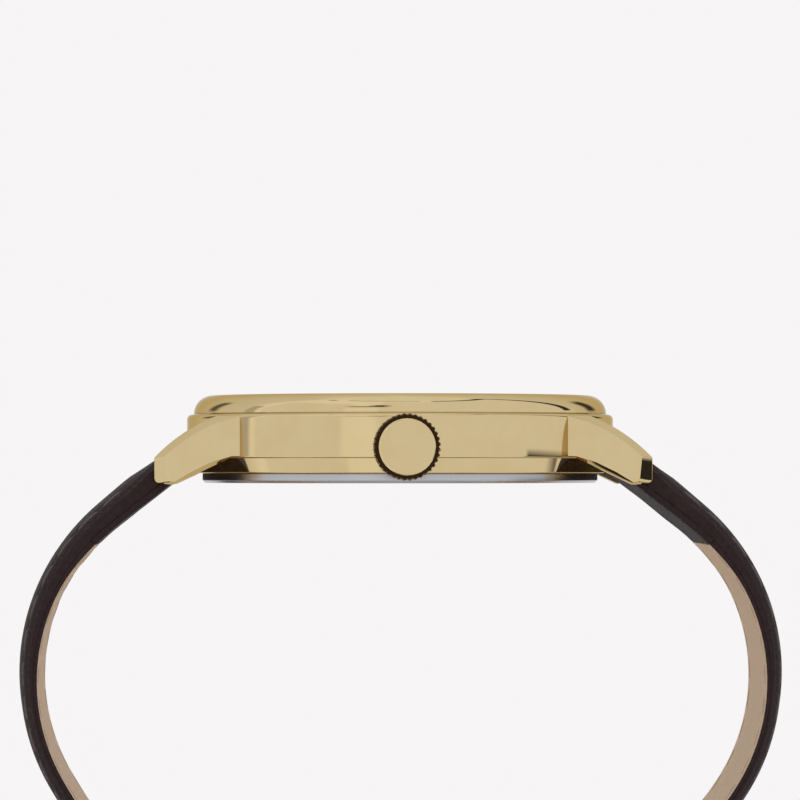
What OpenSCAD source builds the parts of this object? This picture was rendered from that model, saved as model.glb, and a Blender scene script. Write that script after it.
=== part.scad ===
// Slim three-hand quartz wristwatch on a padded leather strap, unbuckled.
// Millimetres. The origin is the middle of the case back's wrist face, +Z points
// to the crystal, +X to 12 o'clock and -Y to 3 o'clock, where the crown is.

/* [Case] */
// Diameter of the case across its polished flank
case_d = 40; // [36:0.5:48]
// Height of the case flank's top edge above the wrist face
flank_top = 6.39; // [6.3:0.05:7.5]
// Height of the bezel above the flank
bezel_h = 1.76; // [1.4:0.02:2.1]
// Thickness of the case back's visible rim
back_rim = 0.89; // [0.8:0.01:1]
// Thickness of the case wall around the bore that holds the movement and the dial
case_wall = 2.3; // [2.2:0.05:2.6]
// Thickness of the crystal
crystal_t = 1.2; // [0.9:0.05:1.2]

/* [Lugs] */
// Width of the strap at the lugs
strap_w = 20; // [16:0.5:20.5]
// Play between the strap and each lug
strap_play = 0.1; // [0.05:0.05:0.3]
// Thickness of each lug
lug_t = 3.1; // [2.6:0.1:3.4]
// Distance the lug's tip stands out past the case flank
lug_overhang = 2.85; // [2.6:0.05:4.2]
// Depth of the polished bevel along each lug's outer edge
lug_bevel = 0.9; // [0.5:0.05:1.2]

/* [Crown] */
// Diameter of the crown over its flutes
crown_d = 6.1; // [5.4:0.05:6.4]
// Diameter of the flat cap on the crown's end
crown_cap_d = 5.15; // [4.4:0.05:5.2]
// Length of the crown
crown_len = 3.2; // [2.6:0.1:4.2]
// Number of flutes around the crown
crown_flutes = 36; // [20:2:40]
// Travel of the crown when it is pulled to set the hands
crown_travel = 1; // [0.6:0.1:1.2]

/* [Strap] */
// Width of the strap at its ends
strap_end_w = 16; // [14:0.5:18]
// Thickness of the strap beside the lugs
strap_t_lug = 3.12; // [2.8:0.02:3.4]
// Thickness of the strap where the padding ends
strap_t = 2.3; // [2.1:0.05:2.6]
// Thickness of the strap's edge
edge_t = 1.3; // [1.25:0.05:1.5]
// Thickness of the lining leather
lining_t = 0.6; // [0.5:0.05:0.7]
// Thickness of the strap's edge beside the lugs
edge_t_lug = 2.2; // [1.8:0.1:2.6]
// Thickness of the strap's tail
tail_t = 1.9; // [1.7:0.05:2]
// Length of the 12 o'clock strap, from spring bar to buckle bar
short_len = 69; // [66:1:70]
// Length of the 6 o'clock strap, from spring bar to tip
long_len = 108; // [100:1:112]
// Number of buckle holes in the 6 o'clock strap
hole_count = 7; // [5:1:8]
// Distance between buckle holes
hole_pitch = 6.5; // [5:0.5:7]

/* [Buckle] */
// Diameter of the buckle's bar
buckle_bar_d = 1.5; // [1.2:0.1:1.6]
// Thickness of the buckle's rim
buckle_rim = 1.9; // [1.4:0.1:2.2]
// Length of the window in the buckle frame
buckle_window = 8.6; // [8:0.2:10]

/* [Dial] */
// Thickness of the dial plate
dial_t = 0.4; // [0.3:0.05:0.4]
// Length of the hour hand as a share of the dial's open radius
hour_share = 0.604; // [0.45:0.002:0.7]
// Length of the minute hand as a share of the dial's open radius
minute_share = 0.88; // [0.7:0.01:0.92]
// Length of the second hand as a share of the dial's open radius
second_share = 0.918; // [0.7:0.002:0.94]

/* [Hidden] */
$fn = 96;
gold = [0.80, 0.72, 0.55];
steel = [0.74, 0.74, 0.76];
brass = [0.78, 0.66, 0.36];
leather = [0.18, 0.13, 0.12];
tan_leather = [0.74, 0.64, 0.52];
plastic = [0.16, 0.16, 0.17];
press_gap = 0.02;
running_gap = 0.05;

// Case, from the wrist face up.
case_r = case_d / 2;
case_bore_r = case_r - case_wall;
band_step = 0.4;
band_top = 2.3;
band_taper = 0.4;
back_inset = 1.46;
back_r = case_r - back_inset;
back_chamfer = 0.25;
back_spigot_top = 2.1;
back_spigot_wall = 0.9;
back_floor = 0.7;
shoulder_r = 0.47;
gasket_r = 0.22;
gasket_z = 1.25;
bezel_edge_r = case_r - 2.4;
bezel_spigot = 0.5;
bezel_bottom = flank_top + 0.03;
bezel_ledge_top = bezel_bottom + 0.41;
bezel_ledge_r = bezel_edge_r - 1.0;
crystal_r = bezel_edge_r - 0.4;
crystal_z = bezel_ledge_top + press_gap;
crystal_chamfer = 0.15;
flange_z = bezel_bottom - bezel_spigot - 0.5;
flange_lip = 0.25;
flange_r = case_bore_r - 0.1;
flange_eye_r = bezel_ledge_r - 0.7;
dial_z = flange_z - press_gap - dial_t;
dial_r = case_bore_r - 0.2;
dial_top = dial_z + dial_t;

// Lugs. Their top is a cylinder about an axis along Y, below and inside the tip.
lug_reach = case_r + lug_overhang;
lug_inner_y = strap_w / 2 + strap_play;
lug_outer_y = lug_inner_y + lug_t;
lug_arc_x = lug_reach - 11.39;
lug_arc_z = -8.41;
lug_arc_r = 15.65;
lug_bevel_drop = 0.65;
lug_root_x = lug_reach - 13.85;
lug_cap = flank_top - 0.19;
lug_heel_x = lug_reach - 7.15;
lug_heel_z = 2.4;
lug_toe_x = lug_reach - 1.75;
lug_toe_z = -0.15;
lug_toe_rise = 0.3;
lug_tip_bevel = 1.05;

// Spring bars, in blind holes in the lugs.
bar_x = lug_reach - 1.55;
bar_z = 1.5;
bar_r = 0.7;
pin_r = 0.4;
pin_tip = lug_inner_y + 1.0;
pin_len = 5;
pin_travel = 1.2;
pin_hole_depth = 1.4;
bar_half = lug_inner_y - 0.5;

// Crown, on an axis along -Y.
crown_z = 3.28;
crown_r = crown_d / 2;
crown_gap = 0.45;
crown_in = case_r + crown_gap;
crown_out = crown_in + crown_len;
crown_chamfer = 0.12;
crown_cap_r = crown_cap_d / 2;
crown_cap_h = 0.45;
flute_r = 0.2;
crown_well_r = 1.55;
crown_well = crown_travel + 0.75;
crown_gasket_in = 0.3;
tube_r = 1.0;
tube_bore_r = 0.6;
tube_out = crown_in + 0.55 + crown_travel;
stem_r = 0.5;
stem_in = 8;
stem_out = crown_out - 1.1;

// Movement levels and plan positions.
movement_r = 12.7;
ring_z = back_spigot_top + 0.1;
plate_z = 3.2;
plate_top = 4.2;
bridge_z = 1.25;
bridge_t = 0.35;
pivot_r = 0.14;
pivot_gap = 0.04;
train_mod = 0.09;
centre_mod = 0.085;
fourth_mod = 0.127;
rotor_mod = 0.08;
motion_mod = 0.12;
hour_mod = motion_mod * 24 / 25;
third_at = polar(34 * train_mod, 150);
fifth_dir = -20;
fifth_at = polar(24 * fourth_mod, fifth_dir);
rotor_dir = -60;
rotor_at = fifth_at + polar(28 * rotor_mod, rotor_dir);
minute_dir = -74;
minute_at = polar(24 * motion_mod, minute_dir);
setting_dir = -95;
setting_at = minute_at + polar(28 * motion_mod, setting_dir);
battery_at = [-6, -4.6];
battery_r = 3.4;
battery_h = 2.05;
coil_x = 7.6;
coil_half = 3.6;
coil_y = -1.6;
stator_z = 2;
stator_t = 0.35;
screw_at = [[-3.9, 5.6], [5.2, 3.4], [3.3, -6.2]];
clamp_screw_at = [[-10.4, -0.9], [-9.6, -6.9]];
clamp_t = 0.12;
clamp_z = plate_z - battery_h - 2 * press_gap - clamp_t;
post_r = 0.75;
screw_r = 0.28;
screw_head_r = 0.6;
screw_head_h = 0.2;
screw_len = 2;
screw_slot = 0.18;
tap_depth = 0.4;
stud_r = 0.25;
stud_bore_r = stud_r + 2 * press_gap;
centre_hub_r = 0.6;
centre_tube_r = 0.3;
arbor_r = 0.2;
arbor_z = 1.68;
arbor_top = 3.12;
board_t = 0.2;
board_z = plate_z - 0.04 - board_t;
board_edge_y = 4.3;
board_notch_r = 1;
can_r = 0.75;
can_len = 5.2;
can_at = [-2.2, 8.6];
chip_h = 0.66;
core_w = 0.9;
core_h = 0.45;
core_z = stator_z + stator_t + press_gap;
winding_r = 0.82;
winding_half = coil_half - 0.3;
winding_z = core_z + core_h / 2;
rotor_well_r = 1;
rotor_ring_r = 1.7;
stator_pad = 0.45;
stem_slot = 0.35;
setting_pocket = 2.3;

// Hands, above the dial.
seconds_r = 0.14;
centre_pipe_r = 0.42;
centre_bore_r = seconds_r + running_gap;
hour_pipe_r = 0.75;
hour_bore_r = centre_pipe_r + running_gap;
dial_hole_r = hour_pipe_r + 0.1;
hour_hand_z = dial_top + 0.28;
hour_hand_t = 0.14;
minute_hand_z = hour_hand_z + 0.38;
minute_hand_t = 0.12;
second_hand_z = minute_hand_z + 0.33;
second_hand_t = 0.08;
hour_hand_at = 54.7;
minute_hand_at = -63.5;
second_hand_at = 150;
tail_share = 0.35;
taper_share = 0.82;
marker_ring_r = flange_eye_r - 2;
hour_len = flange_eye_r * hour_share;
minute_len = flange_eye_r * minute_share;
second_len = flange_eye_r * second_share;

// Strap routes, each stretch as [length, bend radius], seen from the spring bar.
leave_angle = 38;
inner_offset = 1.22;
straight_r = 4000;
keeper_bend_r = 40;
short_route = [[7.6, straight_r], [25.8, 18], [12, 22], [60, keeper_bend_r]];
long_route = [[7.6, straight_r], [25.8, 18], [90, 62]];
start_x = bar_x - inner_offset * sin(leave_angle);
start_z = bar_z - inner_offset * cos(leave_angle);
loop_r = 1.42;
loop_bore_r = bar_r + running_gap;
fold_len = 10;
glue_gap = 0.03;
upper_t = 0.65;
loop_n = 1;
end_bore_r = buckle_bar_d / 2 + running_gap;
end_loop_r = end_bore_r + 0.55;
end_fold = 6;
pad_share = 0.78;
pad_end = 50;
ring_pitch = 1.9;
margin_run = 1.9;
bar_clear = 1;
hole_r = 0.9;
first_hole = long_len - 66;
tip_len = 9;
crown_power = 2.6;
across = [-1, -0.93, -0.78, -0.4, 0, 0.4, 0.78, 0.93, 1];
keeper_len = 4.6;
keeper_t = 0.9;
keeper_gap = 0.3;
fixed_keeper_s = short_len - 6.4;
free_keeper_s = fixed_keeper_s - 8.6;

// Buckle, in a local frame with its bar at the origin and x away from the strap.
buckle_bar_r = buckle_bar_d / 2;
buckle_gap = 0.3;
buckle_in_w = strap_end_w + 2 * buckle_gap;
buckle_rim_h = 2.2;
buckle_ear = 1.6;
buckle_corner = 2.6;
tang_w = 2;
tang_t = 0.9;
tang_eye_r = buckle_bar_r + 0.75;
slot_half = tang_w / 2 + 0.3;
slot_len = 4.2;

// A point at a distance and direction in the plan.
function polar(r, a) = [r * cos(a), r * sin(a)];

// The end of an arc of a route: x outward, z up, heading in degrees below level.
function arc_end(from, length, radius) =
    let (turned = from[2] + length / radius * 180 / PI)
    [
        from[0] + radius * (sin(turned) - sin(from[2])),
        from[1] + radius * (cos(turned) - cos(from[2])),
        turned
    ];

// The place on a route at a distance s from its start.
function route_at(route, s, from = [start_x, start_z, leave_angle], i = 0) =
    s <= route[i][0] || i == len(route) - 1
        ? arc_end(from, s, route[i][1])
        : route_at(route, s - route[i][0], arc_end(from, route[i][0], route[i][1]), i + 1);

// A point beside a route: y across the strap, n outward from its inner face.
function beside(place, y, n) =
    [place[0] + n * sin(place[2]), y, place[1] + n * cos(place[2])];

// Half width, middle thickness and edge thickness at a distance s.
function half_width(s, length) = (strap_w + (strap_end_w - strap_w) * min(1, s / length)) / 2;
function ramp(s, from, to, low, high) =
    low + (high - low) * max(0, min(1, (s - from) / (to - from)));
function middle_t(s) =
    s < 4 ? ramp(s, 0, 4, loop_r + inner_offset, strap_t_lug)
    : s < 26 ? ramp(s, 4, 26, strap_t_lug, strap_t)
    : ramp(s, 26, 80, strap_t, tail_t);
function edge_n(s) =
    s < 4 ? ramp(s, 0, 4, loop_r + inner_offset, edge_t_lug)
    : ramp(s, 4, 26, edge_t_lug, edge_t);
function outer_n(s, u) =
    edge_n(s) + (middle_t(s) - edge_n(s)) * (1 - pow(abs(u), crown_power));

// The pointed, rounded tip of the long strap narrows by a quarter ellipse.
function tip_share(s, length, tip) =
    tip == 0 || s < length - tip ? 1
    : sqrt(max(0.02, 1 - pow((s - length + tip) / tip, 2)));
function stations(from, to, dir = 1) =
    let (count = ceil((to - from) / ring_pitch))
    [for (i = [0:count]) (dir > 0 ? from : to) + dir * (to - from) * i / count];

// Rings of points around each leather layer, along a row outside and back inside.
function sheet_ring(route, half, outer_s, outer, inner_s, inner) =
    concat(
        [for (k = [0:len(across) - 1])
            beside(route_at(route, outer_s), across[k] * half, outer[k])],
        [for (k = [len(across) - 1:-1:0])
            beside(route_at(route, inner_s), across[k] * half, inner[k])]
    );
function level(n) = [for (u = across) n];

// The upper leather's ring: share is how far it has flattened to turn round the buckle's bar,
// and closed is how far its margins are turned down onto the lining.
function upper_ring(route, s, half, share, closed) =
    let (
        low = lining_t + glue_gap,
        outer = [for (u = across) outer_n(s, u) * (1 - share) + (loop_n + end_loop_r) * share],
        thick = upper_t + (end_loop_r - end_bore_r - upper_t) * share,
        inner = [for (n = outer) max(low, n - thick)]
    )
    sheet_ring(route, half, s, outer, s,
        [for (k = [0:len(across) - 1])
            abs(across[k]) > pad_share ? inner[k] + (low - inner[k]) * closed : inner[k]]);
function filler_ring(route, s, half) =
    let (low = lining_t + 2 * glue_gap)
    sheet_ring(route, half * pad_share, s,
        [for (u = across) max(low + 0.06, outer_n(s, u * pad_share) - upper_t - 2 * glue_gap)],
        s, level(low));

// The leather turned round a bar: side is -1 at the lugs and 1 at the buckle.
function turn_ring(route, half, bar_s, bar_n, side, hole, skin, a) =
    sheet_ring(route, half,
        bar_s + side * skin * sin(a), level(bar_n + skin * cos(a)),
        bar_s + side * hole * sin(a), level(bar_n + hole * cos(a)));
function fold_ring(route, half, s, low, thick) =
    sheet_ring(route, half, s, level(low), s, level(low + thick));
function lining_ring(route, s, half) =
    let (place = route_at(route, s))
    [
        beside(place, -half, lining_t),
        beside(place, half, lining_t),
        beside(place, half, 0),
        beside(place, -half, 0)
    ];

// Triangles across a ring whose second half runs back under its first half.
function cap_faces(count, first, flip) =
    [for (i = [0:count / 2 - 2])
        let (
            near = [first + i, first + i + 1, first + count - 1 - i],
            far = [first + i + 1, first + count - 2 - i, first + count - 1 - i]
        )
        each flip ? [[near[2], near[1], near[0]], [far[2], far[1], far[0]]] : [near, far]];

// A closed skin through rings that all have the same even number of points.
module loft(rings) {
    count = len(rings[0]);
    last = len(rings) - 1;
    faces = concat(
        cap_faces(count, 0, false),
        [for (r = [0:last - 1]) for (i = [0:count - 1]) let (j = (i + 1) % count)
            each [
                [r * count + i, (r + 1) * count + i, r * count + j],
                [r * count + j, (r + 1) * count + i, (r + 1) * count + j]
            ]],
        cap_faces(count, last * count, true)
    );
    polyhedron(points = [for (ring = rings) each ring], faces = faces, convexity = 6);
}

// A cylinder on an axis along Y, from y0 to y1.
module y_rod(r, y0, y1, x = 0, z = 0) {
    translate([x, y0, z])
        rotate([-90, 0, 0])
            cylinder(r = r, h = y1 - y0);
}

// A cylinder with a hole through it, standing at z.
module washer(r, hole, z, h) {
    translate([0, 0, z])
        difference() {
            cylinder(r = r, h = h);
            translate([0, 0, -1])
                cylinder(r = hole, h = h + 2);
        }
}

// Outline of a gear with straight-sided teeth, one tooth pointing at phase.
module gear_2d(teeth, mod, phase) {
    pitch = 360 / teeth;
    tip_r = mod * (teeth / 2 + 0.8);
    root_r = mod * (teeth / 2 - 1.25);
    polygon([
        for (i = [0:teeth - 1])
            for (corner = [[root_r, -0.24], [tip_r, -0.07], [tip_r, 0.07], [root_r, 0.24]])
                polar(corner[0], phase + (i + corner[1]) * pitch)
    ]);
}
module gear(teeth, mod, phase, z, h) {
    translate([0, 0, z])
        linear_extrude(h)
            gear_2d(teeth, mod, phase);
}

// A pinion's phase, so that a gap faces back along the direction it is reached by.
function gap_phase(dir, teeth) = dir + 180 + 180 / teeth;

// A plain arbor with a pivot at each end, in the bridge and in the main plate.
module arbor(r) {
    translate([0, 0, arbor_z])
        cylinder(r = r, h = arbor_top - arbor_z);
    translate([0, 0, bridge_z + 0.03])
        cylinder(r = pivot_r, h = plate_z + tap_depth - bridge_z - 0.03);
}

// Case.
module lug() {
    translate([0, lug_outer_y, 0])
        rotate([90, 0, 0])
            linear_extrude(lug_t)
                intersection() {
                    translate([lug_arc_x, lug_arc_z])
                        circle(r = lug_arc_r, $fn = 240);
                    polygon([
                        [lug_root_x, lug_heel_z],
                        [lug_heel_x, lug_heel_z],
                        [lug_toe_x, lug_toe_z],
                        [lug_reach, lug_toe_z + lug_toe_rise],
                        [lug_reach, lug_cap],
                        [lug_root_x, lug_cap]
                    ]);
                }
}

// The waste that leaves the sloping bevel along a lug's outer edge and tip.
module lug_bevel_waste() {
    translate([lug_arc_x, lug_outer_y + 1, lug_arc_z])
        rotate([90, 0, 0])
            rotate_extrude($fn = 240)
                polygon([
                    [lug_arc_r - lug_bevel_drop * (1 + 1 / lug_bevel), 0],
                    [lug_arc_r + 2, 0],
                    [lug_arc_r + 2, 1 + lug_bevel],
                    [lug_arc_r, 1 + lug_bevel]
                ]);
    linear_extrude(20, center = true)
        polygon([
            [lug_reach - lug_tip_bevel * (1 + 1 / lug_bevel), lug_outer_y + 1],
            [lug_reach + 2, lug_outer_y + 1],
            [lug_reach + 2, lug_outer_y - lug_bevel],
            [lug_reach, lug_outer_y - lug_bevel]
        ]);
}
module all_lugs() {
    for (sx = [0, 1])
        for (sy = [0, 1])
            mirror([sx, 0, 0])
                mirror([0, sy, 0])
                    difference() {
                        lug();
                        lug_bevel_waste();
                        y_rod(pin_r + running_gap, lug_inner_y - 1, lug_inner_y + pin_hole_depth,
                            bar_x, bar_z);
                    }
}
module mid_case() {
    color(gold)
        difference() {
            union() {
                rotate_extrude($fn = 240)
                    union() {
                        polygon([
                            [case_bore_r - 1, back_rim + press_gap],
                            [case_r - band_step - band_taper, back_rim + press_gap],
                            [case_r - band_step, band_top],
                            [case_r, band_top],
                            [case_r, flank_top - shoulder_r],
                            [case_r - shoulder_r, flank_top - shoulder_r],
                            [case_r - shoulder_r, flank_top],
                            [case_bore_r - 1, flank_top]
                        ]);
                        translate([case_r - shoulder_r, flank_top - shoulder_r])
                            circle(r = shoulder_r);
                    }
                all_lugs();
            }
            translate([0, 0, -2])
                cylinder(r = case_bore_r, h = flank_top + 4, $fn = 240);
            y_rod(tube_r + press_gap, -case_r - 1, -case_bore_r + 1, 0, crown_z);
        }
}
module bezel() {
    color(gold)
        rotate_extrude($fn = 240)
            difference() {
                union() {
                    intersection() {
                        translate([bezel_edge_r, bezel_bottom])
                            circle(r = bezel_h, $fn = 240);
                        translate([bezel_edge_r, bezel_bottom])
                            square([bezel_h, bezel_h]);
                    }
                    translate([bezel_ledge_r, bezel_bottom - bezel_spigot])
                        square([case_bore_r - press_gap - bezel_ledge_r, bezel_spigot + 0.4]);
                    translate([bezel_ledge_r, bezel_bottom])
                        square([bezel_edge_r - bezel_ledge_r + 0.1, bezel_ledge_top - bezel_bottom]);
                }
                translate([case_bore_r - 3, bezel_ledge_top])
                    square([bezel_edge_r - case_bore_r + 3, bezel_h]);
            }
}
module crystal() {
    color([0.9, 0.95, 1, 0.35])
        rotate_extrude($fn = 240)
            polygon([
                [0, crystal_z],
                [crystal_r, crystal_z],
                [crystal_r, crystal_z + crystal_t - crystal_chamfer],
                [crystal_r - crystal_chamfer, crystal_z + crystal_t],
                [0, crystal_z + crystal_t]
            ]);
}
module crystal_gasket() {
    color("white")
        washer(bezel_edge_r - press_gap, crystal_r + press_gap, crystal_z, crystal_t - 0.2,
            $fn = 240);
}
module dial_flange() {
    color([0.85, 0.82, 0.74])
        rotate_extrude($fn = 240)
            polygon([
                [flange_eye_r, flange_z],
                [flange_r, flange_z],
                [flange_r, bezel_bottom - bezel_spigot - press_gap],
                [bezel_ledge_r - press_gap, bezel_bottom - bezel_spigot - press_gap],
                [bezel_ledge_r - press_gap, bezel_ledge_top - 0.05],
                [bezel_ledge_r - flange_lip, bezel_ledge_top - 0.05]
            ]);
}
module case_back() {
    color(steel)
        difference() {
            rotate_extrude($fn = 240)
                polygon([
                    [0, 0],
                    [back_r - back_chamfer, 0],
                    [back_r, back_chamfer],
                    [back_r, back_rim],
                    [case_bore_r - press_gap, back_rim],
                    [case_bore_r - press_gap, back_spigot_top],
                    [case_bore_r - back_spigot_wall, back_spigot_top],
                    [case_bore_r - back_spigot_wall, back_floor],
                    [0, back_floor]
                ]);
            rotate_extrude($fn = 240)
                translate([case_bore_r - 2 * gasket_r - running_gap, gasket_z])
                    square([1, 2 * (gasket_r + running_gap)]);
        }
}
module case_back_gasket() {
    color("dimgray")
        rotate_extrude($fn = 240)
            translate([case_bore_r - gasket_r, gasket_z + gasket_r + running_gap])
                circle(r = gasket_r - 2 * press_gap, $fn = 24);
}

// Crown and stem.
module crown_tube() {
    color(steel)
        difference() {
            y_rod(tube_r, -tube_out, -case_bore_r - 0.3, 0, crown_z);
            y_rod(tube_bore_r, -tube_out - 1, -case_bore_r + 1, 0, crown_z);
        }
}
module crown_body() {
    translate([0, -crown_in, crown_z])
        rotate([90, 0, 0])
            rotate_extrude()
                polygon([
                    [crown_well_r, 0],
                    [crown_r - 0.2, 0],
                    [crown_r, 0.2],
                    [crown_r, crown_len - crown_cap_h - crown_chamfer],
                    [crown_r - crown_chamfer, crown_len - crown_cap_h],
                    [crown_cap_r, crown_len - crown_cap_h],
                    [crown_cap_r, crown_len - crown_chamfer],
                    [crown_cap_r - crown_chamfer, crown_len],
                    [0, crown_len],
                    [0, crown_well],
                    [crown_well_r, crown_well]
                ]);
}
module crown() {
    color(gold)
        difference() {
            crown_body();
            for (i = [0:crown_flutes - 1])
                translate([0, 0, crown_z])
                    rotate([0, i * 360 / crown_flutes, 0])
                        y_rod(flute_r, -crown_out + crown_cap_h / 2, -crown_in + 1,
                            crown_r + 0.06, $fn = 16);
            y_rod(stem_r, -stem_out, -crown_in, 0, crown_z);
        }
}
module crown_gasket() {
    color("dimgray")
        translate([0, -crown_in - crown_gasket_in, crown_z])
            rotate([90, 0, 0])
                rotate_extrude()
                    translate([(tube_r + crown_well_r) / 2, 0])
                        circle(r = (crown_well_r - tube_r) / 2 - 2 * press_gap, $fn = 24);
}
module setting_stem() {
    color(steel)
        difference() {
            y_rod(stem_r - press_gap, -stem_out + press_gap, -stem_in, 0, crown_z);
            translate([0, -stem_in - 2.3, crown_z])
                rotate([90, 0, 0])
                    washer(stem_r + 0.2, stem_r - 0.17, 0, 0.5);
        }
}

// Dial and hands.
module dial() {
    color([0.93, 0.91, 0.86])
        washer(dial_r, dial_hole_r, dial_z, dial_t, $fn = 240);
}
module hour_markers() {
    color(gold)
        for (i = [0:11])
            rotate([0, 0, i * 30])
                translate([marker_ring_r, 0, dial_top])
                    rotate([0, 90, 0])
                        linear_extrude(i % 3 == 0 ? 3.2 : 2.2, center = true)
                            polygon([[0, -0.24], [-0.12, -0.24], [-0.22, 0], [-0.12, 0.24], [0, 0.24]]);
}
module hand(length, tail, w, hole, z, h) {
    translate([0, 0, z])
        difference() {
            linear_extrude(h)
                union() {
                    circle(r = hole + 0.55);
                    polygon([
                        [-tail, -w * tail_share],
                        [length, -w * 0.1],
                        [length, w * 0.1],
                        [-tail, w * tail_share]
                    ]);
                    polygon([
                        [0, -w / 2],
                        [length * taper_share, -w / 3],
                        [length, 0],
                        [length * taper_share, w / 3],
                        [0, w / 2]
                    ]);
                }
            translate([0, 0, -1])
                cylinder(r = hole, h = h + 2);
        }
}
module hour_hand() {
    color(gold)
        rotate([0, 0, hour_hand_at])
            hand(hour_len, 2.2, 1.1, hour_pipe_r + press_gap, hour_hand_z, hour_hand_t);
}
module minute_hand() {
    color(gold)
        rotate([0, 0, minute_hand_at])
            hand(minute_len, 2.6, 0.9, centre_pipe_r + press_gap, minute_hand_z, minute_hand_t);
}
module second_hand() {
    color(gold)
        rotate([0, 0, second_hand_at])
            hand(second_len, 4, 0.3, seconds_r + press_gap, second_hand_z, second_hand_t);
}

// Movement frame.
module movement_ring() {
    color([0.92, 0.92, 0.9])
        difference() {
            washer(case_bore_r - 0.1, movement_r + 0.1, ring_z, dial_z - ring_z - press_gap,
                $fn = 240);
            translate([-1.2, -case_bore_r - 1, ring_z - 1])
                cube([2.4, case_bore_r - movement_r + 2, crown_z - ring_z + 2.2]);
        }
}
module pivot_holes(places, z, h) {
    for (at = places)
        translate([at[0], at[1], z])
            cylinder(r = pivot_r + pivot_gap, h = h, $fn = 24);
}
module main_plate() {
    color(brass)
        difference() {
            union() {
                translate([0, 0, plate_z])
                    cylinder(r = movement_r, h = plate_top - plate_z, $fn = 160);
                for (at = screw_at)
                    translate([at[0], at[1], bridge_z + bridge_t + press_gap])
                        cylinder(r = post_r, h = plate_z - bridge_z - bridge_t, $fn = 32);
                for (at = clamp_screw_at)
                    translate([at[0], at[1], clamp_z + clamp_t + press_gap])
                        cylinder(r = post_r, h = plate_z - clamp_z - clamp_t, $fn = 32);
                for (stud = [minute_at, setting_at])
                    translate([stud[0], stud[1], plate_top])
                        cylinder(r = stud_r, h = dial_z - plate_top - 0.1, $fn = 32);
            }
            translate([0, 0, plate_z - 1])
                cylinder(r = centre_pipe_r + 0.2 + running_gap, h = 3, $fn = 32);
            pivot_holes([third_at, fifth_at, rotor_at], plate_z - 0.1, tap_depth + 0.2);
            y_rod(stem_r + stem_slot, -movement_r - 1, -stem_in + 0.8, 0, crown_z);
            translate([-setting_pocket / 2, -stem_in - 1.5, plate_z - 1])
                cube([setting_pocket, 2.0, 1.75]);
            translate([coil_x - winding_r - 0.1, coil_y - winding_half - 0.1, plate_z - 1])
                cube([2 * winding_r + 0.2, 2 * winding_half + 0.2, 1.3]);
            for (at = concat(screw_at, clamp_screw_at))
                translate([at[0], at[1], 0])
                    cylinder(r = screw_r + press_gap, h = plate_z + tap_depth, $fn = 24);
        }
}
module bridge_outline() {
    circle(r = 2.2);
    for (at = concat(screw_at, [third_at, fifth_at, rotor_at]))
        translate(at)
            circle(r = 1.15, $fn = 48);
    for (at = concat(screw_at, [third_at, rotor_at]))
        rotate([0, 0, atan2(at[1], at[0])])
            translate([0, -1.1])
                square([norm(at), 2.2]);
}
module train_bridge() {
    color(brass)
        difference() {
            translate([0, 0, bridge_z])
                linear_extrude(bridge_t)
                    bridge_outline();
            pivot_holes([third_at, fifth_at, rotor_at, [0, 0]], bridge_z - 1, 2);
            for (at = screw_at)
                translate([at[0], at[1], 0])
                    cylinder(r = screw_r + 3 * press_gap, h = 3, $fn = 24);
        }
}

// A screw that holds down a plate whose free face is at z.
module slotted_screw(z) {
    difference() {
        union() {
            translate([0, 0, z - press_gap - screw_head_h])
                cylinder(r = screw_head_r, h = screw_head_h, $fn = 32);
            translate([0, 0, z - screw_head_h / 2])
                cylinder(r = screw_r, h = screw_len, $fn = 24);
        }
        translate([-1, -screw_slot / 2, z - screw_head_h - 0.1])
            cube([2, screw_slot, screw_head_h - 0.04]);
    }
}
module movement_screws() {
    color([0.35, 0.4, 0.6]) {
        for (at = screw_at)
            translate([at[0], at[1], 0])
                slotted_screw(bridge_z);
        for (at = clamp_screw_at)
            translate([at[0], at[1], 0])
                slotted_screw(clamp_z);
    }
}

// Power and electronics.
module battery() {
    color(steel)
        translate([battery_at[0], battery_at[1], plate_z - battery_h - press_gap])
            rotate_extrude()
                polygon([
                    [0, 0],
                    [battery_r - 0.15, 0],
                    [battery_r, 0.15],
                    [battery_r, battery_h - 0.35],
                    [battery_r - 0.45, battery_h - 0.3],
                    [battery_r - 0.6, battery_h],
                    [0, battery_h]
                ]);
}
module battery_clamp() {
    color(steel)
        difference() {
            translate([0, 0, clamp_z])
                linear_extrude(clamp_t)
                    union() {
                        translate([battery_at[0] - 4.9, battery_at[1] - 1])
                            square([7, 2]);
                        translate([clamp_screw_at[0][0] - 0.8, clamp_screw_at[1][1] - 0.8])
                            square([1.6, clamp_screw_at[0][1] - clamp_screw_at[1][1] + 1.6]);
                        translate([clamp_screw_at[0][0] - 0.5, clamp_screw_at[1][1] - 0.8])
                            square([2, 1.6]);
                    }
            for (at = clamp_screw_at)
                translate([at[0], at[1], 0])
                    cylinder(r = screw_r + 3 * press_gap, h = 3, $fn = 24);
        }
}
module circuit_board() {
    color([0.1, 0.35, 0.2])
        difference() {
            translate([0, 0, board_z])
                linear_extrude(board_t)
                    intersection() {
                        circle(r = movement_r - 0.5);
                        translate([-movement_r, board_edge_y])
                            square([2 * movement_r, movement_r]);
                    }
            translate([screw_at[0][0], screw_at[0][1], plate_z - 1])
                cylinder(r = board_notch_r, h = 2, $fn = 32);
        }
}
module quartz_can() {
    color(steel)
        translate([can_at[0], can_at[1], board_z - press_gap - can_r])
            rotate([0, 90, 0])
                cylinder(r = can_r, h = can_len);
}
module ic_chip() {
    color(plastic)
        for (chip = [[-6.6, 6.4, 2.2], [4.9, 8.2, 1.1]])
            translate([chip[0], chip[1], board_z - press_gap - chip_h])
                cube([chip[2], chip[2], chip_h]);
}
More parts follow.
